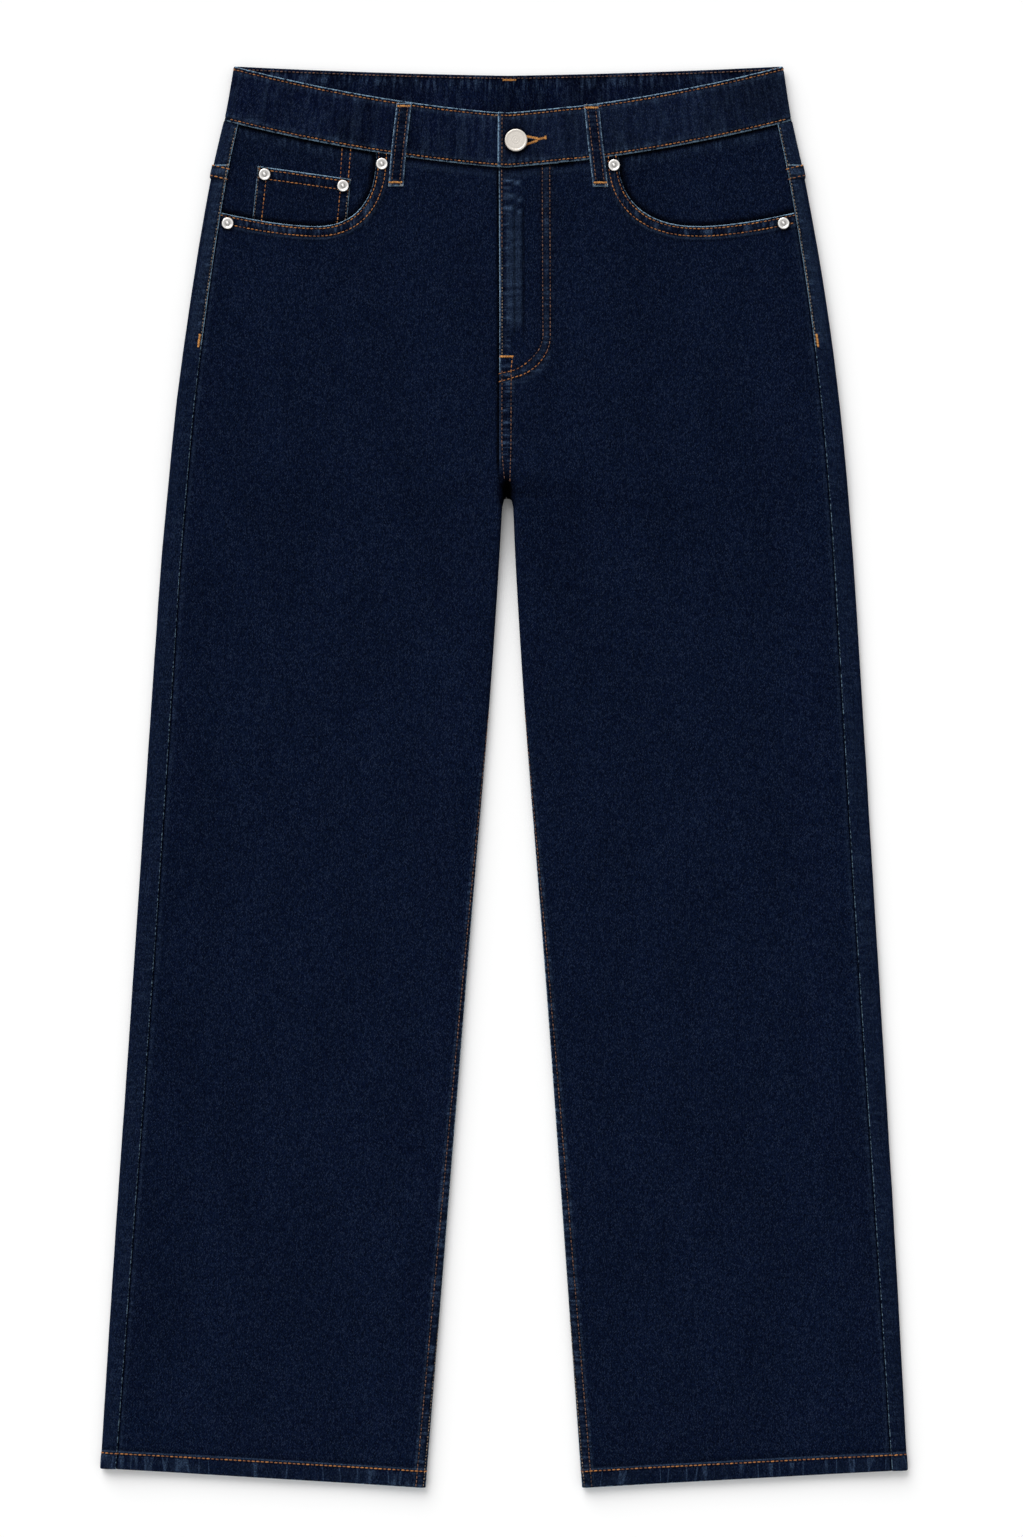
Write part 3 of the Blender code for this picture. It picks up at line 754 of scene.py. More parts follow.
fly = dict(
    edgeRow=[(-4.5, 458), (-4.5, 314.6)],
    innerRow=[(25.9, 459), (25.9, 400), (25.9, 345), (25.9, 329.6), (23.3, 320.6), (15.8, 311.6),
              (6.0, 304.9), (-6.0, 301.9)],
    outerRow=[(31.5, 459.5), (31.5, 400), (31.5, 350), (31.5, 337.1), (30.8, 323.6), (24.8, 311.6),
              (14.3, 302.6), (1.5, 298.1), (-6.0, 295.9)],
    seamLow=[(-4.5, 303), (-4.5, 252), (-3.9, 236), (-2.6, 224)],
    seamHigh=[(2.3, 303), (2.3, 252), (1.9, 236), (1.6, 222)],
    tackAcross=[(-6.0, 314.6), (3.8, 314.6)], tackDown=[(3.2, 314.0), (2.2, 303.8)],
    turns=[("edgeRow", 396, "salt"), ("innerRow", 312, "copper"), ("outerRow", 318, "copper")],
    zipLow=337, zipHigh=421, grooves=(4.8, 11.5), whiskers=(446.6, 434.6, 425.6),
)
sideTack = dict(high=331.5, low=322.0)
sidePatch = dict(rows=(457.1, 449.6), frays=(457.8, 448.0))

frontCreases = {
    1: [(0.5, 7.0, [(4, 240), (28, 226), (62, 214), (104, 208)]),
        (-0.5, 8.0, [(8, 222), (34, 208), (70, 192)]),
        (0.35, 9.0, [(10, 262), (46, 252), (92, 248)]),
        (0.55, 4.5, [(34, 452), (43, 440), (49, 424), (52, 404)]),
        (0.4, 4.0, [(2, 446), (10, 434), (22, 430)]),
        (-0.35, 4.0, [(6, 428), (16, 421), (24, 420)]),
        (0.4, 18.0, [(60, 120), (120, 96), (190, 100)]),
        (-0.4, 22.0, [(80, -90), (150, -110), (220, -96)]),
        (0.5, 16.0, [(120, -470), (128, -300), (135, -120)])],
    -1: [(0.5, 7.0, [(8, 240), (30, 228), (60, 217), (100, 212)]),
         (-0.5, 8.0, [(10, 220), (36, 206), (74, 190)]),
         (0.3, 9.0, [(14, 264), (50, 258), (96, 256)]),
         (0.45, 5.0, [(14, 440), (22, 420), (26, 396)]),
         (0.4, 18.0, [(66, 110), (124, 90), (188, 92)]),
         (-0.4, 22.0, [(84, -84), (150, -100), (216, -90)]),
         (0.5, 16.0, [(124, -470), (130, -300), (138, -110)])],
}


def mouthRelief(marks, side, across, y):
    # The front pocket's turned edge: two rows, with the cloth between them puckered once washed.
    gap, run = nearLine(across, y, mouthLine(side))
    nearMouth = falling(gap, 7.6, 9.0)
    steep = falling(run, 24, 50)
    tuck = ripple(run, 3.5, 3 + side) * window(gap, 0.8, 9.0, 1.0)
    mark(marks, edge=gap + 0.5 * steep, tuck=(0.75 * window(gap, 2.2, 8.6, 0.6)) * (1 - 0.5 * steep),
         worn=0.18 * nearMouth * np.maximum(0, tuck) + 0.40 * bump(gap, 9.1, 0.6) * (1 - 0.4 * steep),
         shade=0.35 * bump(gap, 10.8, 1.3))
    dz = 0.55 * nearMouth + 0.16 * tuck * (1 - steep) - curl(gap, 0.9)
    return dz + sum(sewnRow(marks, gap, row) for row in mouthRows)


def inseamRelief(marks, across, y):
    # The felled inseam comes up over the inner fold towards the hem.
    first, second = inseamRows(y)
    fold = across - inner(y)
    present = smooth(second, 0.2, 1.2)
    mark(marks, notch=0.6 * present * window(fold, first, second + 2.5, 0.8),
         worn=present * (0.06 * window(fold, 0, second, 0.8) + 0.25 * bump(fold, second + 1.5, 0.7)),
         edge=np.where((present > 0.5) & (fold < 4), fold + 0.3, noEdge))
    dz = 0.35 * present * falling(fold, second + 0.5, second + 1.6)
    return dz + sewnRow(marks, fold, second, present) + sewnRow(marks, fold, first, present, 0.3)


def outseamRelief(marks, across, y):
    # The front dives into the seam that joins it to the strip rolled over from the back.
    gap = outseam(y) - across
    mark(marks, notch=0.18 * window(gap, 0.8, 4.0, 1.2), shade=0.7 * falling(gap, 0.0, 1.5),
         worn=0.10 * bump(gap, 2.2, 0.6))
    return -0.55 * falling(gap, 0.2, 2.6)


def frontRelief(side, across, y):
    # What stands out of a front's smooth outer face, and where it has rubbed pale or lies in shade.
    marks = {}
    dz = hemRelief(marks, side * across, hemHeight(side, across, y), 3 + side)
    dz += creases(across, y, frontCreases[side]) + 0.14 * swell(side * across, y, 3 + side, 46)
    dz += mouthRelief(marks, side, across, y) + inseamRelief(marks, across, y)
    dz += outseamRelief(marks, across, y)
    under = bandBottom(across) - y
    dz = dz - 2.1 * falling(under, -1.0, 1.1)
    mark(marks, shade=underBand(under), worn=0.10 * bump(under, 6.0, 2.0))
    # painted shade rings round the rivets on the fronts
    dz += pressedAndShaded(marks, side * across + middle(y), y, rivetSpots(7, 9), 5.0)
    if side > 0:
        dz += flyRelief(marks, across, y)
    else:
        beside = across + float(frontEdge(1, 400))
        mark(marks, shade=0.85 * falling(beside, 0.8, 3.2) * smooth(y, 222, 236))
    dive = bump(across, -0.6 * side, 5.4) * falling(y, 215, 236) * smooth(y, 198, 206)
    mark(marks, shade=np.minimum(1, 1.25 * dive))
    return dz - 3.0 * dive, marks


def flyRelief(marks, across, y):
    # The left front's fly: its turned edge, the curved rows, the zip's ridge and the seam below.
    fromEdge = across - frontEdge(1, y)
    inRow, _ = nearLine(across, y, softCurve(fly["innerRow"]))
    outRow, _ = nearLine(across, y, softCurve(fly["outerRow"]))
    inside = (across < fly["outerRow"][0][0]) & (y > fly["outerRow"][-1][1] + 0.1)
    dz = 0.4 * np.where(inside, 1.0, falling(outRow, 0.8, 2.4)) - 0.35 * bump(outRow, 3.4, 1.6) * ~inside
    above = smooth(y, 226, 240)
    high = smooth(y, 312, 316)
    dz = dz - above * curl(fromEdge, 1.0) + sewnRow(marks, inRow, 0.0) + sewnRow(marks, outRow, 0.0)
    dz += sewnRow(marks, fromEdge, 2.3, high)
    folds = 0.6 * ripple(y, 7.5, 4) + 0.4 * ripple(y, 3.2, 9)
    zipLow, zipHigh = fly["zipLow"], fly["zipHigh"]
    near, far = fly["grooves"]
    ridge = window(across, -1.2, 10.2, 1.2) * window(y, zipLow, zipHigh, 4)
    groove = window(y, zipLow, zipHigh, 4) * (bump(across, near, 0.9) + bump(across, far, 1.2))
    dz += ridge * (0.45 + 0.10 * folds) - 0.5 * groove
    arc = 0.035 * np.maximum(0, across + 2) ** 1.7
    whiskers = sum(bump(y, level - arc, 1.0) for level in fly["whiskers"])
    whiskers = whiskers * window(across, -3.0, 10.0, 2.0)
    dz += 0.3 * whiskers
    low = window(y, 232, 302, 3)
    dz += low * 0.35 * window(across, -5.2, 3.2, 0.8)
    dz += sum(sewnRow(marks, across, fly[row][0][0], low) for row in ("seamHigh", "seamLow"))
    bright = 0.35 + 0.65 * window(y, 345, 425, 16)
    mark(marks, edge=np.where(y > 300, fromEdge + 0.35 * (1 - bright), noEdge),
         worn=above * bright * window(fromEdge, 0.2, 1.7, 0.4) + 0.38 * ridge * (0.6 + 0.6 * folds)
         + 0.75 * whiskers + 0.10 * window(outRow, 1.2, 5.5, 0.8) * inside,
         shade=0.55 * window(y, zipLow - 7, zipHigh + 7, 5)
         * (bump(across, near, 0.8) + bump(across, far, 1.1)),
         notch=0.45 * above * window(fromEdge, 1.0, 8.5, 0.8) + 0.35 * bump(outRow, 3.0, 2.4) * inside
         + 0.5 * low * window(across, -4.0, 4.5, 0.8) + 0.3 * bump(outRow, 1.8, 1.0))
    return dz


hemRows = [garment["hemInner"] + h for h in (0, .2, .5, 1, 1.8, 2.8, 4, 5.5, 7, 8.5, 10, 11, 11.7, 12.3, 12.9,
                                             13.6, 14.6, 16, 18, 21)]


def legRows(top):
    # Heights up a leg: finest at the hem and below the top edge, fine at the crotch.
    leg = np.arange(hemRows[-1] + 4, 186, 5.4)
    close = [198, 200, 202, 204, 205.5, 206.6, 207.2, 207.6, 207.9, 208.1, 208.3, 208.6, 209.2, 210.5]
    crotch = np.concatenate([np.arange(188, 197, 2.0), close, np.arange(212, 242, 2.0)])
    high = [top - d for d in (15.5, 13, 11, 9.7, 8.8, 8.1, 7.5, 6.9, 6.2, 5.4, 4.3, 3.3, 2.5, 1.9, 1.3, .9,
                              .6, .35, .15, 0)]
    hip = np.arange(crotch[-1] + 3, high[0] - 1.5, 3.0)
    return np.concatenate([hemRows, leg, crotch, hip, high])


def legHeights(side, rows, across, top):
    # Rows placed on a leg: the hem slopes, and the last rows follow the top edge.
    g = garment
    slope = falling(rows, g["hemInner"] + 20, -250)
    hem = g["hemRise"][side] * (across - inner(g["hemInner"]))
    rise = smooth(rows, 240, rows[-1])
    return rows[:, None] + hem[None] * slope[:, None] + (top - rows[-1])[None] * rise[:, None]


def hemWeights(rows, shape):
    full = rows < garment["hemInner"] + garment["hemDepth"] + 0.9
    return np.broadcast_to(np.where(full, 1.0, 0.5)[:, None], shape)


def fullness(across, y):
    # The thighs lie thicker beside the crotch, where four seams meet.
    beside = across - inner(y)
    thigh = 0.42 * bump(beside, 0, 36.0) * smooth(y, 30, 200)
    return (thigh + 0.35 * bump(beside, 0, 22.0) * smooth(y, 120, 205)) * falling(y, 212, 258)


def placed(side, across, y, z):
    return np.stack([side * across + middle(y), y, z * (1 + fullness(across, y))], -1)


def frontPanel(side, name):
    roll, gap = garment["roll"], garment["seam"]
    start = mouthStart(side)
    first = float(frontEdge(side, hipY)) + roll
    last = float(outseam(hipY)) - gap
    mouth = mouthColumns(side, 25)
    hip = np.concatenate([
        np.arange(first, first + 12, 0.8), np.arange(first + 12, first + 38, 1.2),
        np.linspace(first + 38.2, start - 11, 16), np.linspace(start - 10, start, 11), mouth[1:],
        np.arange(mouth[-1] + 1.8, last - 2.4, 1.8), last - np.array([2.0, 1.4, 0.9, 0.5, 0.2, 0.0])])
    share = (hip - first) / (last - first)

    def across(y):
        leg = mix(frontEdge(side, y) + gap + roll, outseam(y) - gap, share)
        shift = (outseam(y) - outseam(hipY)) * smooth(hip, 105, last)
        return mix(leg, hip + shift, smooth(y, 250, 390))

    low, top = np.full(hip.shape, 400.0), bandBottom(hip) + 1.2
    for _ in range(30):
        half = (low + top) / 2
        at = across(half)
        above = (at > start) & (half > mouthHeight(side, at))
        low, top = np.where(above, low, half), np.where(above, half, top)

    rows = legRows(458.0)
    turns = np.array([0, .05, .1, .17, .26, .38, .52, .68, .84])
    rollTop = bandBottom(first - roll + roll * turns) + 1.2
    spreadAt = np.concatenate([np.full(len(turns), inner(footY)), mix(inner(footY), outer(footY), share)])
    y = legHeights(side, rows, spreadAt, np.concatenate([rollTop, top]))

    ys = y[:, :len(turns)]
    fromFold, rollDrop, _ = innerRoll(ys, turns[None])
    at = np.concatenate([frontEdge(side, ys) + gap + fromFold, across(y[:, len(turns):])], 1)
    drop = np.concatenate([rollDrop, np.zeros_like(y[:, len(turns):])], 1)

    dz, marks = frontRelief(side, at, y)
    z = frontLevel(side, at, y) - drop + dz
    points = placed(side, at, y, z)
    centre = len(turns) + len(hip) // 2
    return clothPiece(name, points, marks, clothUv(points, centre, side), side < 0, garment["hemWall"],
                      hemWeights(rows, y.shape))


frontLeft = frontPanel(1, "frontLeft")
frontRight = frontPanel(-1, "frontRight")
print("fronts", len(frontLeft.data.polygons), len(frontRight.data.polygons))


def backColumns():
    # Zones across a back: inner fold, underside, outer fold, and the strip rolled to the front.
    zones = [("inner", t) for t in (0, .08, .18, .3, .45, .62, .8)]
    zones += [("under", t) for t in np.linspace(0, 1, 40)]
    zones += [("fold", t) for t in np.linspace(0, 1, 15)[1:]]
    return zones + [("strip", 1 - t) for t in
                    (.93, .86, .79, .72, .65, .58, .51, .44, .37, .31, .25, .2, .15, .1, .06, .03, .01, 0)]


def backSurface(zones, y):
    # A back's smooth outer face: distance across, level, and which way it faces.
    roll, gap = garment["roll"], garment["seam"]
    base, turnedIn, edge, far = lift(y), rolled(y), inner(y) + gap, outer(y)
    across, z = np.zeros_like(y), np.zeros_like(y)
    outX, outZ = np.zeros_like(y), np.zeros_like(y)
    for i, (zone, t) in enumerate(zones):
        b, e, f, w, yi = base[:, i], edge[:, i], far[:, i], turnedIn[:, i], y[:, i]
        if zone == "inner":
            fromFold, raised, angle = innerRoll(yi, t)
            across[:, i], z[:, i] = e + fromFold, b + raised
            outX[:, i], outZ[:, i] = -w * np.cos(angle), -np.sqrt(1 - (w * np.cos(angle)) ** 2)
        elif zone == "under":
            across[:, i], z[:, i] = mix(e + roll, f - roll, t), b
            outZ[:, i] = -1
        elif zone == "fold":
            turn = math.pi * t
            across[:, i], z[:, i] = f - roll + roll * math.sin(turn), b + roll * (1 - math.cos(turn))
            outX[:, i], outZ[:, i] = math.sin(turn), -math.cos(turn)
        else:
            across[:, i], z[:, i] = mix(f - roll, outseam(yi) + gap, t), b + 2 * roll
            outZ[:, i] = 1
    return across, z, outX, outZ


def columnShare(zone):
    return {"inner": 0.0, "under": zone[1]}.get(zone[0], 1.0)


def strips(zones):
    # Columns as a run across: 0 up to the outer fold, growing over the fold and the strip.
    reach = {"inner": lambda t: 0.0, "under": lambda t: 0.0, "fold": lambda t: t, "strip": lambda t: 1.0 + t}
    return np.array([reach[zone](t) for zone, t in zones])


backZones = backColumns()
backShare = np.array([columnShare(z) for z in backZones])


def backCover(y):
    # A back's surface, its run across the zones, how far each point is over the fold and on the strip, and
    # its gap to the strip's edge.
    across, z, outX, outZ = backSurface(backZones, y)
    run = np.broadcast_to(strips(backZones), y.shape)
    return across, z, outX, outZ, run, smooth(run, 0.3, 0.8), smooth(run, 0.98, 1.02), across - outseam(y)


def stripRelief(marks, toEdge, onStrip, sewnPart=1.0):
    # The strip's edge beside the outseam: raised over the seam's layers, turned, and sewn.
    raised = 0.5 * falling(toEdge, 7.0, 9.5) - 0.5 * curl(toEdge, 0.8)
    return onStrip * (raised + sewnRow(marks, toEdge, stripRow, sewnPart))


def backPanel(side, name):
    lap = garment["yokeLap"]
    top = yokeSeam(backShare) + lap
    last = garment["yokeCentre"] + lap
    rows = np.concatenate([hemRows, np.arange(hemRows[-1] + 5, 400, 5.0),
                           [last - d for d in (16, 14, 12.5, 11.2, 10.5, 9.8, 9, 8, 7, 6, 5, 4, 3.2, 2.4, 1.7,
                                               1.1, .7, .4, .15, 0)]])
    y = legHeights(side, rows, mix(inner(footY), outer(footY), backShare), top)
    across, z, outX, outZ, run, over, onStrip, toEdge = backCover(y)
    seed = 8 + side
    h = hemHeight(side, across, y)
    marks = {}
    hemDz = hemRelief(marks, side * across + 90 * np.clip(run - 0.5, 0, 1), h, seed)
    below = top[None] - y
    sewnPart = smooth(y, sideTack["low"] - 4, sideTack["low"] + 4)
    lapPucker, spread = ripple(side * across + run * 9, 3.4, seed + 3), side * across + run * 12
    out = over * hemDz + stripRelief(marks, toEdge, onStrip, sewnPart)
    out += 1.25 * falling(below, 8.5, 10.5) - 0.9 * curl(below, 0.8)
    out += over * sum(sewnRow(marks, below, row) for row in yokeRows)
    out += over * (0.12 * lapPucker * window(below, 1, 9, 1) + 0.25 * swell(spread, y, seed, 34))
    edge = np.where(onStrip > 0.5, toEdge + 0.45 * (1 - sewnPart), noEdge)
    lapped = window(below, 0, 9.4, 0.5)
    mark(marks, edge=np.minimum(edge, np.maximum(0, below)),
         worn=over * (0.03 + 0.5 * lapped * (0.3 + 0.7 * np.maximum(0, lapPucker)))
         + 0.10 * onStrip * (sewnPart + window(h, 0, garment["hemDepth"], 1.0)),
         notch=onStrip * (0.10 + 0.35 * window(toEdge, 0.4, 5.0, 0.8) * sewnPart),
         shade=onStrip * 0.35 * bump(toEdge, 0, 0.4) + over * 0.5 * window(below, 9.6, 11.5, 0.6))
    points = placed(side, across + outX * out, y, z + outZ * out)
    return clothPiece(name, points, marks, clothUv(points, 20, side), side > 0, garment["hemWall"],
                      hemWeights(rows, y.shape))


def yokePanel(side, name):
    zone = np.array([z[0] for z in backZones])
    turn = np.array([z[1] if z[0] == "fold" else float(z[0] == "strip") for z in backZones])
    across = backSurface(backZones, np.full((1, len(backZones)), 485.0))[0]
    top = mix(bandBottom(across[0], "back"), bandBottom(across[0]), turn)
    top = np.where(zone == "strip", bandBottom(across[0]), top) + 1.2
    start = yokeSeam(backShare) + garment["seam"]
    steps = np.concatenate([np.linspace(0, 0.86, 16), [0.9, 0.94, 0.97, 0.985, 1.0]])
    y = mix(start[None], top[None], steps[:, None])
    across, z, outX, outZ, run, over, onStrip, toEdge = backCover(y)
    marks = {}
    spread, toTop = side * across + run * 12, y - top[None]
    out = stripRelief(marks, toEdge, onStrip) + over * 0.25 * swell(spread, y, 12 + side, 30)
    out = out - over * 2.0 * smooth(toTop, -2.2, -0.4)
    mark(marks, edge=np.where(onStrip > 0.5, toEdge, noEdge), worn=over * 0.10,
         notch=0.4 * onStrip * window(toEdge, 0.4, 5, 0.8),
         shade=0.6 * np.maximum(over * falling(y - start[None], 5.0, 7.0), smooth(toTop, -4, -1)))
    points = placed(side, across + outX * out, y, z + outZ * out)
    return clothPiece(name, points, marks, clothUv(points, 20, side), side > 0)


backLeft = backPanel(1, "backLeft")
backRight = backPanel(-1, "backRight")
yokeLeft = yokePanel(1, "yokeLeft")
yokeRight = yokePanel(-1, "yokeRight")
print("backs and yokes", [len(o.data.polygons) for o in (backLeft, backRight, yokeLeft, yokeRight)])


def sectionLoop(width, wall, near, count):
    # A strip's rounded section: place across the strip, and depth below its outer face.
    r = wall / 2
    near = np.asarray(near, float) + r
    face = np.concatenate([near, np.linspace(near[-1], width - near[-1], count)[1:-1], width - near[::-1]])
    turn = np.linspace(0, math.pi, 7)[1:-1]
    place = np.concatenate([face, width - r + r * np.sin(turn), face[::-1], r - r * np.sin(turn)])
    depth = np.concatenate([0 * face, r - r * np.cos(turn), 0 * face + wall, r + r * np.cos(turn)])
    return place, depth


def closedEnd(distance, wall):
    # How far a strip's section is open at a distance from its rounded end.
    t = np.clip(distance / (wall / 2), 0, 1)
    return np.sqrt(1 - (1 - t) ** 2)


def bandStations():
    low, high, step = waistline["overlapEnd"], waistline["foldAt"], 1.4
    first = low + np.array([0, .1, .3, .6, .9, 1.3, 1.8, 2.3, 2.8, 3.3, 3.9, 4.8])
    front = np.concatenate([first, np.arange(first[-1] + step, high, step)])
    stations = [("leftFront", (a - low) / (high - low)) for a in front]
    stations += [("leftFold", t) for t in np.linspace(0, 1, 13)]
    stations += [("back", t) for t in np.linspace(0, 1, 280)[1:-1]]
    stations += [("rightFold", t) for t in np.linspace(0, 1, 13)]
    end = waistline["underlapEnd"]
    last = -end + np.array([3, 2, 1.2, .7, .35, .1, 0])
    rest = np.concatenate([np.arange(high - step, -end + 4, -step), last])
    return stations + [("rightFront", (high - a) / (high + end)) for a in rest]


def bandSurface(stations, place):
    # The waistband's outer face at each place up its height, for each station round the waist.
    w = waistline
    radius = (w["top"] - w["under"]) / 2
    v = (place / w["height"])[:, None]
    reach = outer(mix(493, 532, v)) - radius
    half = mix(w["half"], w["halfTop"], v)
    shape = (len(place), len(stations))
    x, y, z, nx, nz, turn = (np.zeros(shape) for _ in range(6))
    for i, (zone, t) in enumerate(stations):
        side, k = (-1, 1 - t) if zone.startswith("right") else (1, t)
        if zone.endswith("Fold"):
            a = reach + radius * math.sin(math.pi * k)
            level = w["under"] + radius * (1 + math.cos(math.pi * k))
            nx[:, i], nz[:, i] = side * math.sin(math.pi * k), math.cos(math.pi * k)
            turn[:, i] = k
        elif zone == "back":
            a = mix(reach, -reach, t)
            level, nz[:, i], turn[:, i] = w["under"], -1, 1
        elif zone == "leftFront":
            a = mix(w["overlapEnd"], reach, t)
            level, nz[:, i] = bandLevel(a), 1
        else:
            a = mix(reach, -w["underlapEnd"], t)
            level, nz[:, i] = w["top"], 1
        tops = mix(bandTop(a, "front", half), bandTop(a, "back", half), turn[:, i:i + 1])
        ys = tops - w["height"] * (1 - v)
        x[:, i:i + 1], y[:, i:i + 1], z[:, i:i + 1] = side * a + middle(ys), ys, level
    return x, y, z, nx, nz, turn


def waistbandPiece():
    height, wall = waistline["height"], garment["bandWall"]
    near = [0, .3, .6, .9, 1.3, 1.8, 2.5, 3.6, 5.2]
    place, depth = sectionLoop(height, wall, near, 22)
    stations = bandStations()
    x, y, z, nx, nz, turn = bandSurface(stations, place)
    half = len(place) // 4
    step = np.hypot(np.diff(x[half]), np.diff(z[half]))
    run = np.concatenate([[0], np.cumsum(step)])[None] + 0 * x
    h, o = place[:, None] + 0 * x, depth[:, None] + 0 * x
    outside = 1 - o / wall
    atStart, atEnd = run, run[0, -1] - run
    fromTop = height - h
    inside = 1 - outside
    seat = smooth(turn, 0.6, 0.95)
    marks = {}
    nearRows = np.maximum(bump(fromTop, 3.2, 2.6), bump(h, 2.8, 2.6))
    pull, long = ripple(run + 0.25 * h, 3.4, 5), ripple(run, 11.0, 2)
    w = waistline
    rows = ((fromTop, w["rowTop"]), (h, w["rowLow"]), (atStart, w["rowEnd"]), (atEnd, w["rowEnd"]))
    grooves = sum(sewnRow(marks, gap, row, outside) for gap, row in rows)
    out = grooves + outside * (0.20 * swell(run, h * 0.7, 5, 26) + 0.13 * pull * nearRows
                               + 0.16 * long * window(h, 3, 36, 3))
    back = 0.6 * ripple(run, 4.6, 8) + 0.4 * ripple(run, 2.9, 3)
    loopMark = bump(np.abs(x - 3.8), 7.2, 1.0) * seat
    within = inside * seat
    out = out - within * (0.14 * back * window(fromTop, 1, 34, 3) + 0.22 * loopMark)
    out += sewnRow(marks, fromTop, w["rowTop"], within)
    scale = closedEnd(atStart, wall) * closedEnd(atEnd, wall)
    o = wall / 2 + (o - wall / 2) * scale
    out = out * scale
    points = np.stack([x + nx * (out - o), y, z + nz * (out - o)], -1)
    edge = np.minimum(np.minimum(h, fromTop), np.minimum(atStart, atEnd))
    lines = np.maximum(bump(fromTop, 4.2, 1.1), bump(h, 3.8, 1.1))
    # painted shade in a ring round the button
    pressedAndShaded(marks, x, y, [buttonhole["centre"]], 9.3)
    mark(marks, edge=edge + seat * 0.75 + 0.35 * inside,
         worn=0.04 * smooth(x, -60, 40) * (1 - seat) + 0.16 * outside * lines
         + 0.08 * outside * np.maximum(0, long) + 0.85 * outside * bump(atStart, 0.9, 1.4)
         + within * 0.17 * np.maximum(0, back) * window(fromTop, 0.5, 10, 3),
         tuck=outside * (0.12 + 0.38 * np.maximum(bump(fromTop, 4.0, 2.6), bump(h, 3.6, 2.6)))
         + within * (0.15 + 0.36 * window(fromTop, 0.5, 11, 3)),
         shade=0.42 * within * smooth(fromTop, 24, 38))
    return ringPiece("bandCloth", points, marks, np.stack([run, y + 0 * run], -1))


loopWidth, loopWall = 11.3, 1.5
loops = dict(
    frontRight=dict(node="belt_loop_front_right", top=(-75.2, 504.6), low=(-81.4, 442.2), front=True),
    frontLeft=dict(node="belt_loop_front_left", top=(65.4, 503.4), low=(71.9, 442.0), front=True),
    centreBack=dict(node="belt_loop_centre_back", top=(3.9, 523.5), low=(3.6, 465.0), front=False),
    sideRight=dict(node="belt_loop_side_right", top=(-186.0, 529.0), low=(-190.0, 471.0), front=False),
    sideLeft=dict(node="belt_loop_side_left", top=(192.0, 529.0), low=(196.0, 471.0), front=False),
)


def loopAxis(loop, along):
    # A loop's centre line and its outer level at a share of its length, from the low end up.
    x = mix(loop["low"][0], loop["top"][0], along)
    y = mix(loop["low"][1], loop["top"][1], along)
    if not loop["front"]:
        return x, y, 0.0 * x
    below = smooth(bandBottom(x - middle(hipY)) - y, 1, 9)
    arch = 0.55 * np.sin(math.pi * np.clip((along - 0.05) / 0.9, 0, 1)) ** 0.6
    level = waistline["top"] + 0.3 + garment["cloth"] - below * (waistline["top"] - 7.5) + arch
    return x, y, level


def loopPiece(label):
    loop = loops[label]
    width, wall = loopWidth, loopWall
    place, depth = sectionLoop(width, wall, [0, .3, .6, .9, 1.3, 1.8, 2.4, 3.0], 5)
    length = math.dist(loop["top"], loop["low"])
    ends = [0, .1, .3, .6, .9, 1.3, 1.8, 2.4, 3.2]
    along = np.concatenate([ends, np.arange(4.1, length - 4, 0.9), length - np.array(ends[::-1])]) / length
    x, y, z = (np.broadcast_to(v[None], (len(place), len(along))) for v in loopAxis(loop, along))
    h, o = place[:, None] + 0 * x, depth[:, None] + 0 * x
    outside = 1 - o / wall
    run = along[None] * length + 0 * x
    ends = np.minimum(run, length - run)
    fromEdge = np.minimum(h, width - h)
    seed = 5 + len(label)
    pull = ripple(run, 3.2, seed)
    marks = {}
    out = outside * (0.12 * swell(h * 2, run, seed, 22) + 0.12 * pull * bump(fromEdge, 2.2, 2.2)
                     + 0.15 * bump(h, width / 2, 2.2)) + sewnRow(marks, fromEdge, 2.7, outside, 0.35)
    out = out - outside * 0.4 * bump(ends, 2.3, 1.1)
    scale = closedEnd(ends, wall)
    o = wall / 2 + (o - wall / 2) * scale
    outward = 1 if loop["front"] else -1
    level = z + outward * (out * scale - o)
    if not loop["front"]:
        level = z - np.minimum(0.02, out) * scale + o * 0.8
    sway = 0.25 * np.sin(run / length * 5 + seed)
    points = np.stack([x + h - width / 2 + sway, y, level], -1)
    mark(marks, edge=np.minimum(fromEdge + 0.2, ends) + (0 if loop["front"] else 0.6) + 0.4 * (1 - outside),
         worn=0.02 + 0.50 * bump(fromEdge, 0.9, 0.9) + 0.55 * bump(ends, 0.8, 1.3), notch=0.35 * outside,
         shade=0.30 * outside * window(fromEdge, 3.4, 9, 0.6))
    name = "loop" + label[0].upper() + label[1:]
    return ringPiece(name, points, marks, np.stack([x + h, y + o], -1), loop["front"])


waistband = waistbandPiece()
beltLoops = {label: loopPiece(label) for label in loops}
print("waistband and loops", len(waistband.data.polygons), [len(o.data.polygons) for o in beltLoops.values()])


def patchGrid(corners, columns, rows):
    # A grid between four corners, low inner, low outer, top outer and top inner, as x and y.
    u, v = columns[None, :], rows[:, None]
    lowIn, lowOut, topOut, topIn = [np.asarray(c, float) for c in corners]
    x = mix(mix(lowIn[0], lowOut[0], u), mix(topIn[0], topOut[0], u), v)
    y = mix(mix(lowIn[1], lowOut[1], u), mix(topIn[1], topOut[1], u), v)
    return x, y


def edgedSteps(length, near, step):
    # Shares of a length: given distances from both ends, and even steps between.
    near = np.asarray(near, float)
    count = max(3, int((length - 2 * near[-1]) / step) + 2)
    inside = np.linspace(near[-1], length - near[-1], count)[1:-1]
    return np.concatenate([near, inside, length - near[::-1]]) / length


facing = dict(low=376.0, beyond=24, level=4.5, raised=1.1,
              rows=([(-122.9, 449.6), (-121.7, 470)], [(-116.9, 450.4), (-115.2, 470)]))


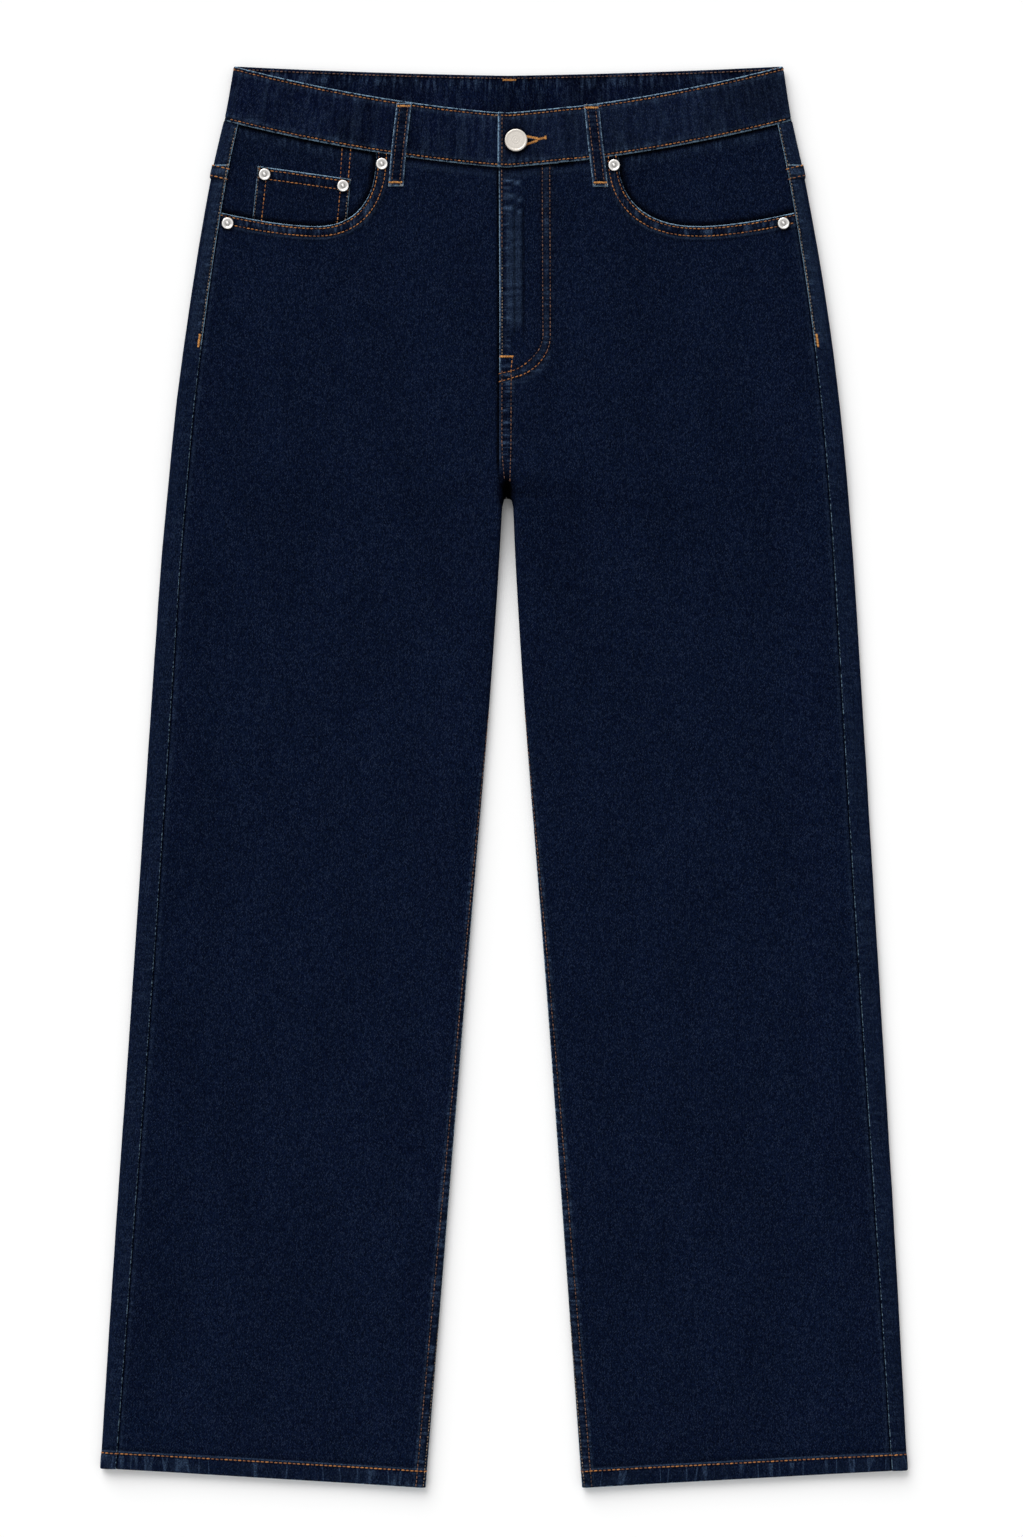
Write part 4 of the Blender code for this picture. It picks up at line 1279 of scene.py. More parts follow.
def facingPiece(side, name):
    # The pocket facing under the front pocket's opening. The bag's cloth, hidden below it, is not made.
    start = mouthStart(side) - facing["beyond"]
    shares = np.linspace(0, 1, 62)
    levels = np.concatenate([np.linspace(0, 0.86, 36), [0.89, 0.92, 0.95, 0.975, 1.0]])
    guess = mix(start, float(outseam(hipY)), shares)
    y = mix(facing["low"], bandBottom(guess)[None] + 1.0, levels[:, None])
    across = mix(start, outseam(y) - garment["seam"], shares[None, :])
    toBand = smooth(y, bandBottom(across) - 21, bandBottom(across) - 3)
    toSeam = smooth(across, outseam(y) - 17, outseam(y) - 3)
    z = facing["level"] + facing["raised"] * np.maximum(toBand, toSeam)
    z += 0.25 * swell(across * side, y, 17 + side, 30) - 0.8 * smooth(y - bandBottom(across), -1.2, 0.6)
    nearBand = bandBottom(across) - y
    z += 0.12 * ripple(across, 4.0, 3) * bump(nearBand, 3, 3.5)
    marks = dict(edge=noEdge, worn=0.05 * bump(nearBand, 6, 3.5), tuck=0.4 * bump(nearBand, 4, 4),
                 shade=np.maximum(underBand(nearBand), underMouth(side, across, y)))
    points = placed(side, across, y, z)
    return clothPiece(name, points, marks, clothUv(points, 0, side), side < 0)


coin = dict(corners=[(-121.0, 384.5), (-191.5, 393.5), (-184.7, 457.9), (-115.2, 448.1)], size=(70.5, 64.0),
            level=6.0, topRows=(2.2, 8.8), sideRows=(1.2, 7.0))
turnedSteps = [0, .2, .5, .9, 1.4, 2, 2.8, 3.8, 5, 6.5, 8.2]


def coinPiece():
    length, height = coin["size"]
    u = edgedSteps(length, turnedSteps + [9.5], 1.6)
    v = edgedSteps(height, turnedSteps + [9.2, 10, 11, 12.5], 1.6)
    x, y = patchGrid(coin["corners"], u, v)
    toSide = np.minimum(u, 1 - u)[None] * length + 0 * x
    toTop = (1 - v[:, None]) * height + 0 * x
    hem = falling(toTop, 10.4, 11.6)
    pullTop, pullSide = ripple(x, 3.4, 4), ripple(y, 3.2, 6)
    marks = {}
    z = coin["level"] + 0.3 * hem - 0.8 * curl(toTop, 0.8) - 0.6 * curl(toSide, 0.8)
    z += sum(sewnRow(marks, toTop, row, 1, 0.32) for row in coin["topRows"])
    z += sum(sewnRow(marks, toSide, row, 1, depth) for row, depth in zip(coin["sideRows"], (0.3, 0.32)))
    z += 0.12 * pullTop * window(toTop, 1, 10, 1) + 0.1 * pullSide * window(toSide, 1, 9, 1)
    # painted shade rings round the coin pocket's rivets
    z += 0.2 * swell(x, y, 9, 26) + pressedAndShaded(marks, x, y, rivetSpots(0, 7), 5.0)
    corner = bump(toTop, 0, 1.6) * bump(toSide, 0, 1.6)
    points = np.stack([x, y, z], -1)
    mark(marks, edge=np.minimum(toTop, toSide + 0.3), worn=0.22 * bump(toTop, 1.0, 0.7) + 0.9 * corner,
         tuck=0.4 * window(toTop, 1.5, 11.5, 1), notch=0.3 * window(toSide, 1.0, 9, 1),
         shade=np.maximum(0.11, underMouth(-1, middle(y) - x, y)))
    return clothPiece("coinPocket", points, marks, points[..., :2], True)


backPocket = dict(size=(130, 150), lowAcross=(60, 176), topAcross=(46, 188), lowY=(257, 262), topY=(404, 417),
                  point=16, near=[0, .3, .8, 1.4, 2.2, 3.2, 4.6, 6.5, 8, 9.5], hem=[14, 16, 18])


def backPocketPiece(side, name):
    # On the underside of the seat: flat top hem, sides that narrow and a shallow point.
    b = backPocket
    (width, height), near = b["size"], b["near"]
    u, v = edgedSteps(width, near, 5), edgedSteps(height, near + b["hem"], 6)
    run, rise = u[None, :], v[:, None]
    across = mix(mix(*b["lowAcross"], run), mix(*b["topAcross"], run), rise)
    y = mix(mix(*b["lowY"], run) - b["point"] * (1 - np.abs(2 * run - 1)), mix(*b["topY"], run), rise)
    toSide = np.minimum(run, 1 - run) * width + 0 * y
    toLow, toTop = rise * height + 0 * y, (1 - rise) * height + 0 * y
    toEdge = np.minimum(toSide, toLow)
    marks = dict(edge=np.minimum(toEdge, toTop), worn=0.2 * bump(toEdge, 1, 1),
                 tuck=0.3 * window(toTop, 1, 16, 1), notch=0.3 * window(toSide, 1, 9, 1))
    z = 0.5 * curl(toEdge, 0.6)
    for gap, row in ((toEdge, 2.0), (toEdge, 8.0), (toTop, b["hem"][1])):
        z = z - sewnRow(marks, gap, row, 1, 0.25)
    points = placed(side, across, y, z)
    return clothPiece(name, points, marks, points[..., :2], side > 0)


def shieldPiece():
    corners = [(0.0, 326.0), (30.0, 340.0), (36.0, 456.5), (-6.0, 456.5)]
    x, y = patchGrid(corners, edgedSteps(34, [0, .6, 1.5], 4), edgedSteps(120, [0, .6, 1.5], 6))
    points = np.stack([x, y, facing["level"] + 0.08 * swell(x, y, 4, 20)], -1)
    return clothPiece("flyShield", points, dict(edge=noEdge), points[..., :2])


facingLeft = facingPiece(1, "facingLeft")
facingRight = facingPiece(-1, "facingRight")
coinPocket = coinPiece()
backPocketLeft = backPocketPiece(1, "backPocketLeft")
backPocketRight = backPocketPiece(-1, "backPocketRight")
flyShield = shieldPiece()
print("pocket pieces", [len(o.data.polygons) for o in (facingLeft, coinPocket, backPocketLeft, flyShield)])


def prism(name, outlinePoints, low, high):
    # A closed upright shape with a given outline, to cut an opening with.
    count = len(outlinePoints)
    verts = [(x * mm, y * mm, z * mm) for z in (low, high) for x, y in outlinePoints]
    faces = [list(range(count))[::-1], list(range(count, 2 * count))]
    faces += [(k, (k + 1) % count, count + (k + 1) % count, count + k) for k in range(count)]
    mesh = bpy.data.meshes.new(name)
    mesh.from_pydata(verts, [], faces)
    return newObject(name, mesh)


def buttonholeOutline():
    # A round eyelet for the shank, and a slit that the button's pull holds open into a wedge.
    b = buttonhole
    cx, cy = b["centre"]
    turn = np.linspace(math.radians(50), math.radians(310), 19)
    points = [(cx + b["eyelet"] * math.cos(a), cy + b["eyelet"] * math.sin(a)) for a in turn]
    points += [(b["armStart"], cy - b["armHalf"]), (b["tip"][0], b["tip"][1] - b["tipHalf"]),
               (b["tip"][0], b["tip"][1] + b["tipHalf"]), (b["armStart"], cy + b["armHalf"])]
    return points


def cutOpening(obj, cutter):
    tool = obj.modifiers.new("opening", "BOOLEAN")
    tool.operation, tool.solver, tool.object = "DIFFERENCE", "EXACT", cutter
    settle(obj)
    bpy.data.objects.remove(cutter)


level = waistline["top"] + waistline["overlapRaise"]
cutOpening(waistband, prism("buttonholeCutter", buttonholeOutline(), level - 2.62, level + 2))
for obj in beltLoops.values():
    settle(obj)
print("buttonhole cut")


def lathed(name, profile, steps, material, place=(0, 0, 0)):
    # A turned piece from points of (radius, height, hollow), hollow being how tarnished it is;
    # on a rivet's lowest rim it is painted shadow.
    profile = np.array(profile, float)
    turn = np.linspace(0, 2 * math.pi, steps, endpoint=False)[:, None]
    radius = profile[None, :, 0]
    points = np.stack([radius * np.cos(turn) + place[0], radius * np.sin(turn) + place[1],
                       np.broadcast_to(profile[None, :, 1] + place[2], (steps, len(profile)))], -1)
    marks = dict(hollow=np.broadcast_to(profile[None, :, 2], (steps, len(profile))))
    mesh = makeMesh(name, points, marks, points[..., :2], ring=True)
    weld(mesh, facingOut=True)
    obj = addPiece(name, mesh, material, "button_metal")
    mesh.set_sharp_from_angle(angle=math.radians(50))
    return obj


buttonShape = dict(
    # radius, height, hollow
    face=[(0, 2.50, 0.1), (0.7, 2.50, 0.1), (1.2, 2.43, 0.25), (1.7, 2.50, 0.1), (2.4, 2.50, 0.1),
          (2.9, 2.45, 0.25), (3.4, 2.50, 0.1), (5.4, 2.52, 0.1), (6.4, 2.52, 0.2), (6.8, 2.60, 0.1),
          (7.2, 2.72, 0.0), (7.6, 2.76, 0.0), (8.1, 2.60, 0.0), (8.42, 2.1, 0.1), (8.5, 1.4, 0.3)],
    back=[(8.5, 1.4, 0.1), (8.4, 0.9, 0.3), (7.8, 0.3, 0.5), (6.0, 0.1, 0.6), (3.4, 0.0, 0.7),
          (3.0, -0.3, 0.7), (3.0, -2.7, 0.7), (0, -2.7, 0.7)],
    base=11.1, steps=72,
)
buttonProfile = np.concatenate([softCurve(buttonShape["face"], 0.2, 2),
                                softCurve(buttonShape["back"], 0.5, 2)[1:]])
button = lathed("tackButton", buttonProfile, buttonShape["steps"], materials["nickel"],
                (*buttonhole["centre"], buttonShape["base"]))

# radius, height, hollow; hollow 1 on the lowest rim is painted shadow where the head meets the cloth
rivetShape = [(0, 1.78, 0.1), (0.5, 1.75, 0.1), (0.95, 1.5, 0.35), (1.3, 1.12, 0.75), (2.0, 0.98, 0.50),
              (2.7, 1.02, 0.40), (3.2, 1.32, 0.1), (3.6, 1.5, 0.0), (4.05, 1.34, 0.0), (4.4, 0.85, 0.1),
              (4.5, 0.4, 0.8), (4.62, 0.25, 1.0), (4.68, 0.1, 1.0), (4.5, 0.0, 1.0), (0, 0, 1.0)]


def instanceTree(name, inputs):
    tree, start, end = newGroup(name, dict(Geometry="Geometry", **inputs), ("Geometry",), "GeometryNodeTree",
                                "Geometry")
    tree.is_modifier = True
    return tree, start, end


def finishTree(tree, start, end, instances):
    # Real geometry with the piece's own material: what a plain mesh can keep.
    solid = node(tree, "GeometryNodeRealizeInstances", Geometry=instances)
    soft = node(tree, "GeometryNodeSetShadeSmooth", Geometry=solid)
    dressed = node(tree, "GeometryNodeSetMaterial", Geometry=soft,
                   Material=start.outputs["Material"])
    fill(end, Geometry=dressed)


def randomFloat(tree, low, high, seed):
    made = node(tree, "FunctionNodeRandomValue", {"data_type": "FLOAT"}, i2=low, i3=high, Seed=seed)
    return made.outputs[1]


def headsTree():
    # A metal piece on every point, each turned by chance within the spread.
    inputs = dict(Head="Object", Spread=math.tau, Seed=1, Material="Material")
    tree, start, end = instanceTree("headsOnPoints", inputs)
    asked = start.outputs
    points = node(tree, "GeometryNodeMeshToPoints", Mesh=asked["Geometry"])
    head = node(tree, "GeometryNodeObjectInfo", Object=asked["Head"])
    turn = node(tree, "ShaderNodeCombineXYZ", Z=randomFloat(tree, 0.0, asked["Spread"], asked["Seed"]))
    placed = node(tree, "GeometryNodeInstanceOnPoints", Points=points,
                  Instance=head.outputs["Geometry"], Rotation=turn)
    finishTree(tree, start, end, placed)
    return tree


def sewTree():
    # Stitches along every line of points: each an oval of thread, laid along the line or turned across it.
    inputs = dict(Pitch=0.0025, Length=0.0021, Width=0.0006, Turn=0.0, Jitter=0.00008, Seed=1,
                  Material="Material")
    tree, start, end = instanceTree("sewnRows", inputs)
    asked = start.outputs
    seed = asked["Seed"]
    curve = node(tree, "GeometryNodeMeshToCurve", Mesh=asked["Geometry"])
    even = node(tree, "GeometryNodeResampleCurve", Curve=curve)
    even.mode = "LENGTH"
    fill(even, Length=asked["Pitch"])
    oval = node(tree, "GeometryNodeMeshUVSphere", Segments=6, Rings=4, Radius=0.5)
    size = node(tree, "ShaderNodeCombineXYZ", X=asked["Length"], Y=asked["Width"],
                Z=times(asked["Width"], 0.85))
    vary = node(tree, "ShaderNodeVectorMath", {"operation": "SCALE"}, i0=size,
                Scale=randomFloat(tree, 0.9, 1.08, seed))
    tangent = node(tree, "GeometryNodeInputTangent")
    along = node(tree, "FunctionNodeAlignRotationToVector", {"axis": "X"}, Vector=tangent)
    lean = plus(asked["Turn"], randomFloat(tree, -0.07, 0.07, seed))
    spin = node(tree, "FunctionNodeAxisAngleToRotation", Axis=(0, 0, 1), Angle=lean)
    turned = node(tree, "FunctionNodeRotateRotation", {"rotation_space": "GLOBAL"}, i0=along,
                  i1=spin)
    placed = node(tree, "GeometryNodeInstanceOnPoints", Points=even,
                  Instance=oval, Rotation=turned, Scale=vary)
    drift = node(tree, "FunctionNodeRandomValue", {"data_type": "FLOAT_VECTOR"}, i0=(-1, -1, -0.4),
                 i1=(1, 1, 0.4), Seed=seed)
    offset = node(tree, "ShaderNodeVectorMath", {"operation": "SCALE"}, i0=drift,
                  Scale=asked["Jitter"])
    moved = node(tree, "GeometryNodeTranslateInstances", Instances=placed,
                 Translation=offset)
    moved.inputs["Local Space"].default_value = False
    tinted = node(tree, "GeometryNodeStoreNamedAttribute", {"data_type": "FLOAT", "domain": "INSTANCE"},
                  Geometry=moved, Name="tint", Value=randomFloat(tree, 0.0, 1.0, seed))
    finishTree(tree, start, end, tinted)
    return tree


def grow(name, mesh, tree, slotName, **settings):
    # Runs a tree on a mesh and keeps the result as a plain mesh.
    obj = newObject(name, mesh)
    tool = obj.modifiers.new("pattern", "NODES")
    tool.node_group = tree
    sockets = {item.name: item.identifier for item in tree.interface.items_tree if item.in_out == "INPUT"}
    for label, value in settings.items():
        tool[sockets[label]] = value
    bake(obj).data.name = name
    obj["slotName"] = slotName
    return obj


heads, sewn = headsTree(), sewTree()
rivetHead = lathed("rivetHead", softCurve(rivetShape, 0.3, 2), 36, materials["rivetNickel"])
rivetPoints = bpy.data.meshes.new("rivetPoints")
rivetPoints.from_pydata([(r["at"][0] * mm, r["at"][1] * mm, r["level"] * mm) for r in rivets], [], [])
rivetSet = grow("rivets", rivetPoints, heads, "rivet_metal", Head=rivetHead, Spread=6.28, Seed=3,
                Material=materials["rivetNickel"])
bpy.data.objects.remove(rivetHead)
print("metal", len(button.data.polygons), len(rivetSet.data.polygons))


zipPlace = dict(low=[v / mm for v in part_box("zip")[0]], high=[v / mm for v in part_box("zip")[1]],
                pitch=1.9, reach=1.0, tooth=(3.3, 0.78, 1.7), tapeWall=0.45, tapeGap=1.6)
zipPlace["middle"] = (zipPlace["low"][0] + zipPlace["high"][0]) / 2 + 0.5
zipPlace["level"] = zipPlace["low"][2] + 1.15


def tapePiece(side, name):
    # One woven tape of the zip, with a cord along its inner edge that the teeth grip.
    z = zipPlace
    near, far = z["tapeGap"] / 2, z["high"][0] - z["middle"]
    columns = near + (far - near) * np.array([0, .04, .09, .15, .22, .3, .4, .55, .7, .85, 1])
    rows = np.linspace(z["low"][1], z["high"][1], 60)
    x, y = np.meshgrid(z["middle"] + side * columns, rows)
    fromCord = side * (x - z["middle"]) - near
    level = z["level"] + 0.5 * bump(fromCord, 0.5, 0.6) - 0.5 * smooth(fromCord, 1, 5)
    mesh = makeMesh(name, np.stack([x, y, level], -1), dict(edge=noEdge), np.stack([x, y], -1), flip=side < 0)
    return settle(thicken(addPiece(name, mesh, materials["tape"], "zip_metal"), z["tapeWall"]))


def toothMesh():
    # One tooth: a block that narrows to both ends, with softened edges.
    shape = bmesh.new()
    bmesh.ops.create_cube(shape, size=1)
    lengthwise = [e for e in shape.edges if abs(e.verts[0].co.x - e.verts[1].co.x) > 0.5]
    bmesh.ops.subdivide_edges(shape, edges=lengthwise, cuts=2)
    length, thick, tall = zipPlace["tooth"]
    for vert in shape.verts:
        narrow = 0.72 if abs(vert.co.x) > 0.4 else 1.0
        vert.co = Vector((vert.co.x * length, vert.co.y * thick * narrow, vert.co.z * tall * narrow)) * mm
    mesh = bpy.data.meshes.new("tooth")
    shape.to_mesh(mesh)
    shape.free()
    mesh.materials.append(materials["brass"])
    return mesh


def chainPiece():
    z = zipPlace
    ys = np.arange(z["low"][1] + 4, z["high"][1] - 3, z["pitch"])
    points = [(z["middle"] - z["reach"], y, z["level"]) for y in ys]
    points += [(z["middle"] + z["reach"], y + z["pitch"] / 2, z["level"]) for y in ys]
    cloud = bpy.data.meshes.new("chainPoints")
    cloud.from_pydata([[v * mm for v in p] for p in points], [], [])
    tooth = newObject("tooth", toothMesh())
    chain = grow("zipChain", cloud, heads, "zip_metal", Head=tooth, Spread=0.0, Seed=5,
                 Material=materials["brass"])
    bpy.data.objects.remove(tooth)
    return chain


def softPrism(name, outlinePoints, low, high, bevel):
    # A metal plate with rounded edges.
    obj = prism(name, outlinePoints, low, high)
    obj.data.materials.append(materials["brass"])
    obj["slotName"] = "zip_metal"
    tool = obj.modifiers.new("edges", "BEVEL")
    tool.width, tool.segments = bevel * mm, 2
    return settle(obj)


def sliderPieces():
    # The slider stands at the top of the closed chain, with its tab lying down over the teeth.
    z = zipPlace
    x, y, level = z["middle"], z["high"][1] - 8, z["level"]
    body = [(-2.6, -5), (2.6, -5), (3.6, -1), (4.3, 3.4), (2.6, 5), (-2.6, 5), (-4.3, 3.4), (-3.6, -1)]
    bridge = [(-0.8, -3.4), (0.8, -3.4), (0.8, 3.4), (-0.8, 3.4)]
    tab = [(-2.2, -2.6), (2.2, -2.6), (2.9, -19), (2.0, -21.5), (-2.0, -21.5), (-2.9, -19)]
    shapes = (("sliderTop", body, 0.9, 1.35, 0.2), ("sliderUnder", body, -1.35, -0.9, 0.2),
              ("sliderBridge", bridge, 1.2, 1.95, 0.3), ("sliderTab", tab, 1.05, 1.6, 0.2))
    made = []
    for name, points, low, high, bevel in shapes:
        made.append(softPrism(name, [(x + a, y + b) for a, b in points], level + low, level + high, bevel))
    return made


zipTapes = [tapePiece(1, "zipTapeLeft"), tapePiece(-1, "zipTapeRight")]
zipChain = chainPiece()
zipSlider = sliderPieces()
print("zip", len(zipChain.data.polygons), [len(o.data.polygons) for o in zipSlider])


surfaces = dict(
    all=surfaceOf(frontLeft, frontRight, backLeft, backRight, yokeLeft, yokeRight, waistband),
    band=surfaceOf(waistband), fronts=surfaceOf(frontLeft, frontRight), coin=surfaceOf(coinPocket),
    facings=surfaceOf(facingLeft, facingRight), loops=surfaceOf(*beltLoops.values()),
    backs=surfaceOf(backLeft, backRight, yokeLeft, yokeRight),
    pockets=surfaceOf(backPocketLeft, backPocketRight),
)


def onCloth(line, rise=0.1, above=True, step=0.8, cloth="all"):
    # A line in x and y laid on the cloth, as one or more lines in space where the cloth goes on.
    line = np.asarray(line, float)
    knots = lengthAlong(line)
    at = np.linspace(0, knots[-1], max(2, int(knots[-1] / step) + 1))
    xs, ys = np.interp(at, knots, line[:, 0]), np.interp(at, knots, line[:, 1])
    high, way = (0.05, -1) if above else (-0.05, 1)
    found, stepUp = [[]], 0.9
    for x, y in zip(xs, ys):
        hit = surfaces[cloth].ray_cast(Vector((x * mm, y * mm, high)), Vector((0, 0, way)))[0]
        level = None if hit is None else hit.z / mm - way * rise
        if level is None or (found[-1] and abs(level - found[-1][-1][2]) >= stepUp):
            found.append([])
        if level is not None:
            found[-1].append((x, y, level))
    return [part for part in found if len(part) > 1]


def besideLine(line, distance):
    # A line moved sideways by a distance, to its right as it runs.
    line = np.asarray(line, float)
    run = np.gradient(line, axis=0)
    run /= np.maximum(1e-9, np.hypot(*run.T))[:, None]
    return np.stack([line[:, 0] + distance * run[:, 1], line[:, 1] - distance * run[:, 0]], 1)


def sideRow(side, across, y):
    # A row on one side of the garment, from distances across and heights.
    return np.stack([side * across + middle(y), y], 1)


def onSide(side, points):
    return sideRow(side, *np.asarray(points, float).T)


threads = {key: [] for key in ("copper", "hem", "russet", "salt", "tacks", "wraps", "frays")}


def sew(kind, line, **options):
    # Keeps a row of one kind of thread, to be stitched with its kind later.
    threads[kind] += onCloth(line, **options)


def bandRow(side, first, last, fromTop, back=False):
    # A row round the waistband at a distance below its top edge.
    w = waistline
    across = np.linspace(first, last, 160)
    half = mix(w["half"], w["halfTop"], 1 - fromTop / w["height"])
    ys = bandTop(across, "back" if back else "front", half) - fromTop
    return sideRow(side, across, ys)


def sewWaistband():
    w = waistline
    top, low = w["rowTop"], w["height"] - w["rowLow"]
    end, reach = w["overlapEnd"] + w["rowEnd"], w["foldAt"] - 2
    for fromTop in (top, low):
        sew("copper", bandRow(1, end, reach, fromTop), cloth="band")
        sew("copper", bandRow(-1, -end + 4, reach, fromTop), cloth="band")
        sew("copper", bandRow(1, -reach, reach, fromTop, back=True), cloth="band", above=False)
    corners = [bandRow(1, end, end + 1, fromTop)[0] for fromTop in (top, low)]
    sew("russet", corners, cloth="band")
    sew("russet", bandRow(1, -reach, reach, top, back=True), cloth="band")
    sew("tacks", [(-0.9, 522.8), (8.8, 522.8)], cloth="band")


def sewLoops():
    for loop in loops.values():
        (lx, ly), (tx, ty) = loop["low"], loop["top"]
        reach, half = loopWidth / 2 - 2.7, loopWidth / 2 - 0.8
        for offset in (-reach, reach):
            sew("russet", [(lx + offset, ly + 3), (tx + offset, ty - 3)], above=loop["front"], cloth="loops")
        for x, y in ((lx, ly + 3.1), (tx, ty - 2.3)):
            sew("tacks", [(x - half, y), (x + half, y)], above=loop["front"], rise=0.15, cloth="loops")


def sewPockets():
    for side in (1, -1):
        line = mouthLine(side, 90)
        for distance in mouthRows:
            row = besideLine(line, distance)
            row = row[row[:, 0] < outseam(row[:, 1]) - 0.8]
            sew("copper", onSide(side, row), cloth="fronts")
    lowIn, lowOut, topOut, topIn = [np.array(c) for c in coin["corners"]]

    def inside(start, end, fromStart, shift):
        # A row parallel to one side of the pocket, moved in by a distance.
        way = (end - start) / np.linalg.norm(end - start)
        normal = np.array([-way[1], way[0]])
        return [start + way * fromStart + normal * shift, end - way * fromStart + normal * shift]

    for shift in coin["topRows"]:
        sew("copper", inside(topIn, topOut, 1.5, shift), cloth="coin")
    for start, end in ((topOut, lowOut), (lowIn, topIn)):
        for kind, fromEnd, shift in zip(("salt", "copper"), (1.2, 1.5), coin["sideRows"]):
            sew(kind, inside(start, end, fromEnd, shift), cloth="coin")
    for row in facing["rows"]:
        sew("copper", row, cloth="facings")


def sewFly():
    # Each row changes its thread's colour below a height.
    for label, turn, below in fly["turns"]:
        curve = softCurve(fly[label])
        high = curve[:, 1] > turn
        sew("russet", onSide(1, curve[high]), cloth="fronts")
        sew(below, onSide(1, curve[~high]), cloth="fronts")
    for label in ("seamLow", "seamHigh"):
        sew("russet", onSide(1, softCurve(fly[label])), cloth="fronts")
    sew("tacks", onSide(1, fly["tackAcross"]), rise=0.15, cloth="fronts")
    sew("copper", onSide(1, fly["tackDown"]), rise=0.15, cloth="fronts")
    b = buttonhole
    for way in (-1, 1):
        near = (b["armStart"] - 2, b["centre"][1] + way * (b["armHalf"] + 1.3))
        sew("wraps", [near, (b["tip"][0] + 0.3, b["tip"][1] + way * 0.8)], rise=0.1, cloth="band")
    barX, barY = b["barEnd"]
    sew("wraps", [b["tip"], b["barEnd"]], rise=0.2, cloth="band")
    sew("tacks", [(barX, barY - 1.0), (barX, barY + 1.3)], rise=0.25, cloth="band")


def sewLegs():
    hem = garment["hemInner"]
    ys = np.arange(hem + 2, garment["sideTop"], 3.0)
    for side in (1, -1):
        for kind, offset in zip(("salt", "russet"), inseamRows(ys)):
            keep = (offset > 0.35) & (ys < inseam["start"] - 1)
            sew(kind, sideRow(side, inner(ys) + offset, ys)[keep], cloth="fronts")
        high = ys[ys > sideTack["low"]]
        sew("salt", sideRow(side, outseam(high) + stripRow, high), cloth="backs")
        ends = [(float(outseam(y)) + 2.4, y) for y in (sideTack["high"], sideTack["low"])]
        sew("tacks", onSide(side, ends), rise=0.15, cloth="backs")
        for y in sidePatch["rows"]:
            row = [(float(outseam(y)) + 0.8, y - 1.9), (float(outer(y)) - 0.6, y + 0.9)]
            sew("hem", onSide(side, row), cloth="backs")
        across = np.linspace(float(inner(hem)) + 0.4, float(outer(footY + 5)) - 0.8, 60)
        row = hem + garment["hemRise"][side] * (across - inner(hem)) + garment["hemDepth"]
        for above in (True, False):
            sew("hem", sideRow(side, across, row), above=above)


def fray(spot, cloth):
    # A few broken threads where an edge ends.
    x, y = spot
    sew("frays", [(x - 1.1, y - 0.5), (x + 1.1, y + 0.5)], rise=0.25, cloth=cloth, step=0.4)


def frayCorners():
    _, _, topOut, topIn = coin["corners"]
    fray((topOut[0] + 0.9, topOut[1] - 0.8), "coin")
    fray((topIn[0] - 0.9, topIn[1] - 0.8), "coin")
    for label in ("frontRight", "frontLeft"):
        (lx, ly), (tx, ty) = loops[label]["low"], loops[label]["top"]
        reach = loopWidth / 2 - 1.2
        for x, y in ((lx - reach, ly + 0.9), (lx + reach, ly + 0.9), (tx - reach, ty - 0.9)):
            fray((x, y), "loops")
    for side in (1, -1):
        for y in sidePatch["frays"]:
            fray((side * (float(outseam(y)) + stripRow) + float(middle(y)), y), "backs")
    fray((waistline["overlapEnd"] + 1.2, 495.5), "band")


def sewUnderside():
    pocketRows = dict(
        outline=[(47.5, 402), (61.5, 258.5), (118, 245.2), (174.5, 263.5), (186, 415)],
        inside=[(53.5, 402), (67, 262.5), (118, 251.4), (169, 267), (179.5, 415)],
        top=[(48, 388.5), (186, 401)],
    )
    for side in (1, -1):
        share = np.linspace(0.02, 1, 30)
        for row in yokeRows:
            y = yokeSeam(share) + garment["yokeLap"] - row
            sew("copper", sideRow(side, share * outer(y) - 1.5, y), above=False)
        for row in pocketRows.values():
            sew("copper", onSide(side, row), above=False, cloth="pockets")
        seat = np.arange(232, 410, 6.0)
        sew("copper", sideRow(side, 0 * seat + 3.2, seat), above=False)


for job in (sewWaistband, sewLoops, sewPockets, sewFly, sewLegs, frayCorners, sewUnderside):
    job()

stitchKinds = dict(
    copper=dict(material="copper", pitch=3.1, length=2.6, width=0.86, turn=0.0, jitter=0.07, seed=11),
    hem=dict(material="copper", pitch=3.4, length=3.05, width=1.08, turn=0.0, jitter=0.06, seed=13),
    russet=dict(material="russet", pitch=3.0, length=2.45, width=0.8, turn=0.0, jitter=0.08, seed=17),
    salt=dict(material="salt", pitch=2.4, length=1.7, width=0.9, turn=0.0, jitter=0.16, seed=19),
    tacks=dict(material="orange", pitch=0.46, length=1.85, width=0.55, turn=1.45, jitter=0.1, seed=23),
    frays=dict(material="cream", pitch=0.75, length=1.9, width=0.26, turn=1.1, jitter=0.45, seed=31),
    wraps=dict(material="orange", pitch=0.52, length=2.2, width=0.55, turn=1.5, jitter=0.1, seed=29),
)
stitches = []
for kind, row in stitchKinds.items():
    verts, edges = [], []
    for line in threads[kind]:
        start = len(verts)
        verts += [tuple(v * mm for v in p) for p in line]
        edges += [(start + k, start + k + 1) for k in range(len(line) - 1)]
    mesh = bpy.data.meshes.new(kind)
    mesh.from_pydata(verts, edges, [])
    obj = grow("stitches" + kind.capitalize(), mesh, sewn, "thread", Pitch=row["pitch"] * mm,
               Length=row["length"] * mm, Width=row["width"] * mm, Turn=row["turn"],
               Jitter=row["jitter"] * mm, Seed=row["seed"], Material=materials[row["material"]])
    stitches.append(obj)
    print("stitches", kind, len(threads[kind]), "rows", len(obj.data.polygons), "faces")


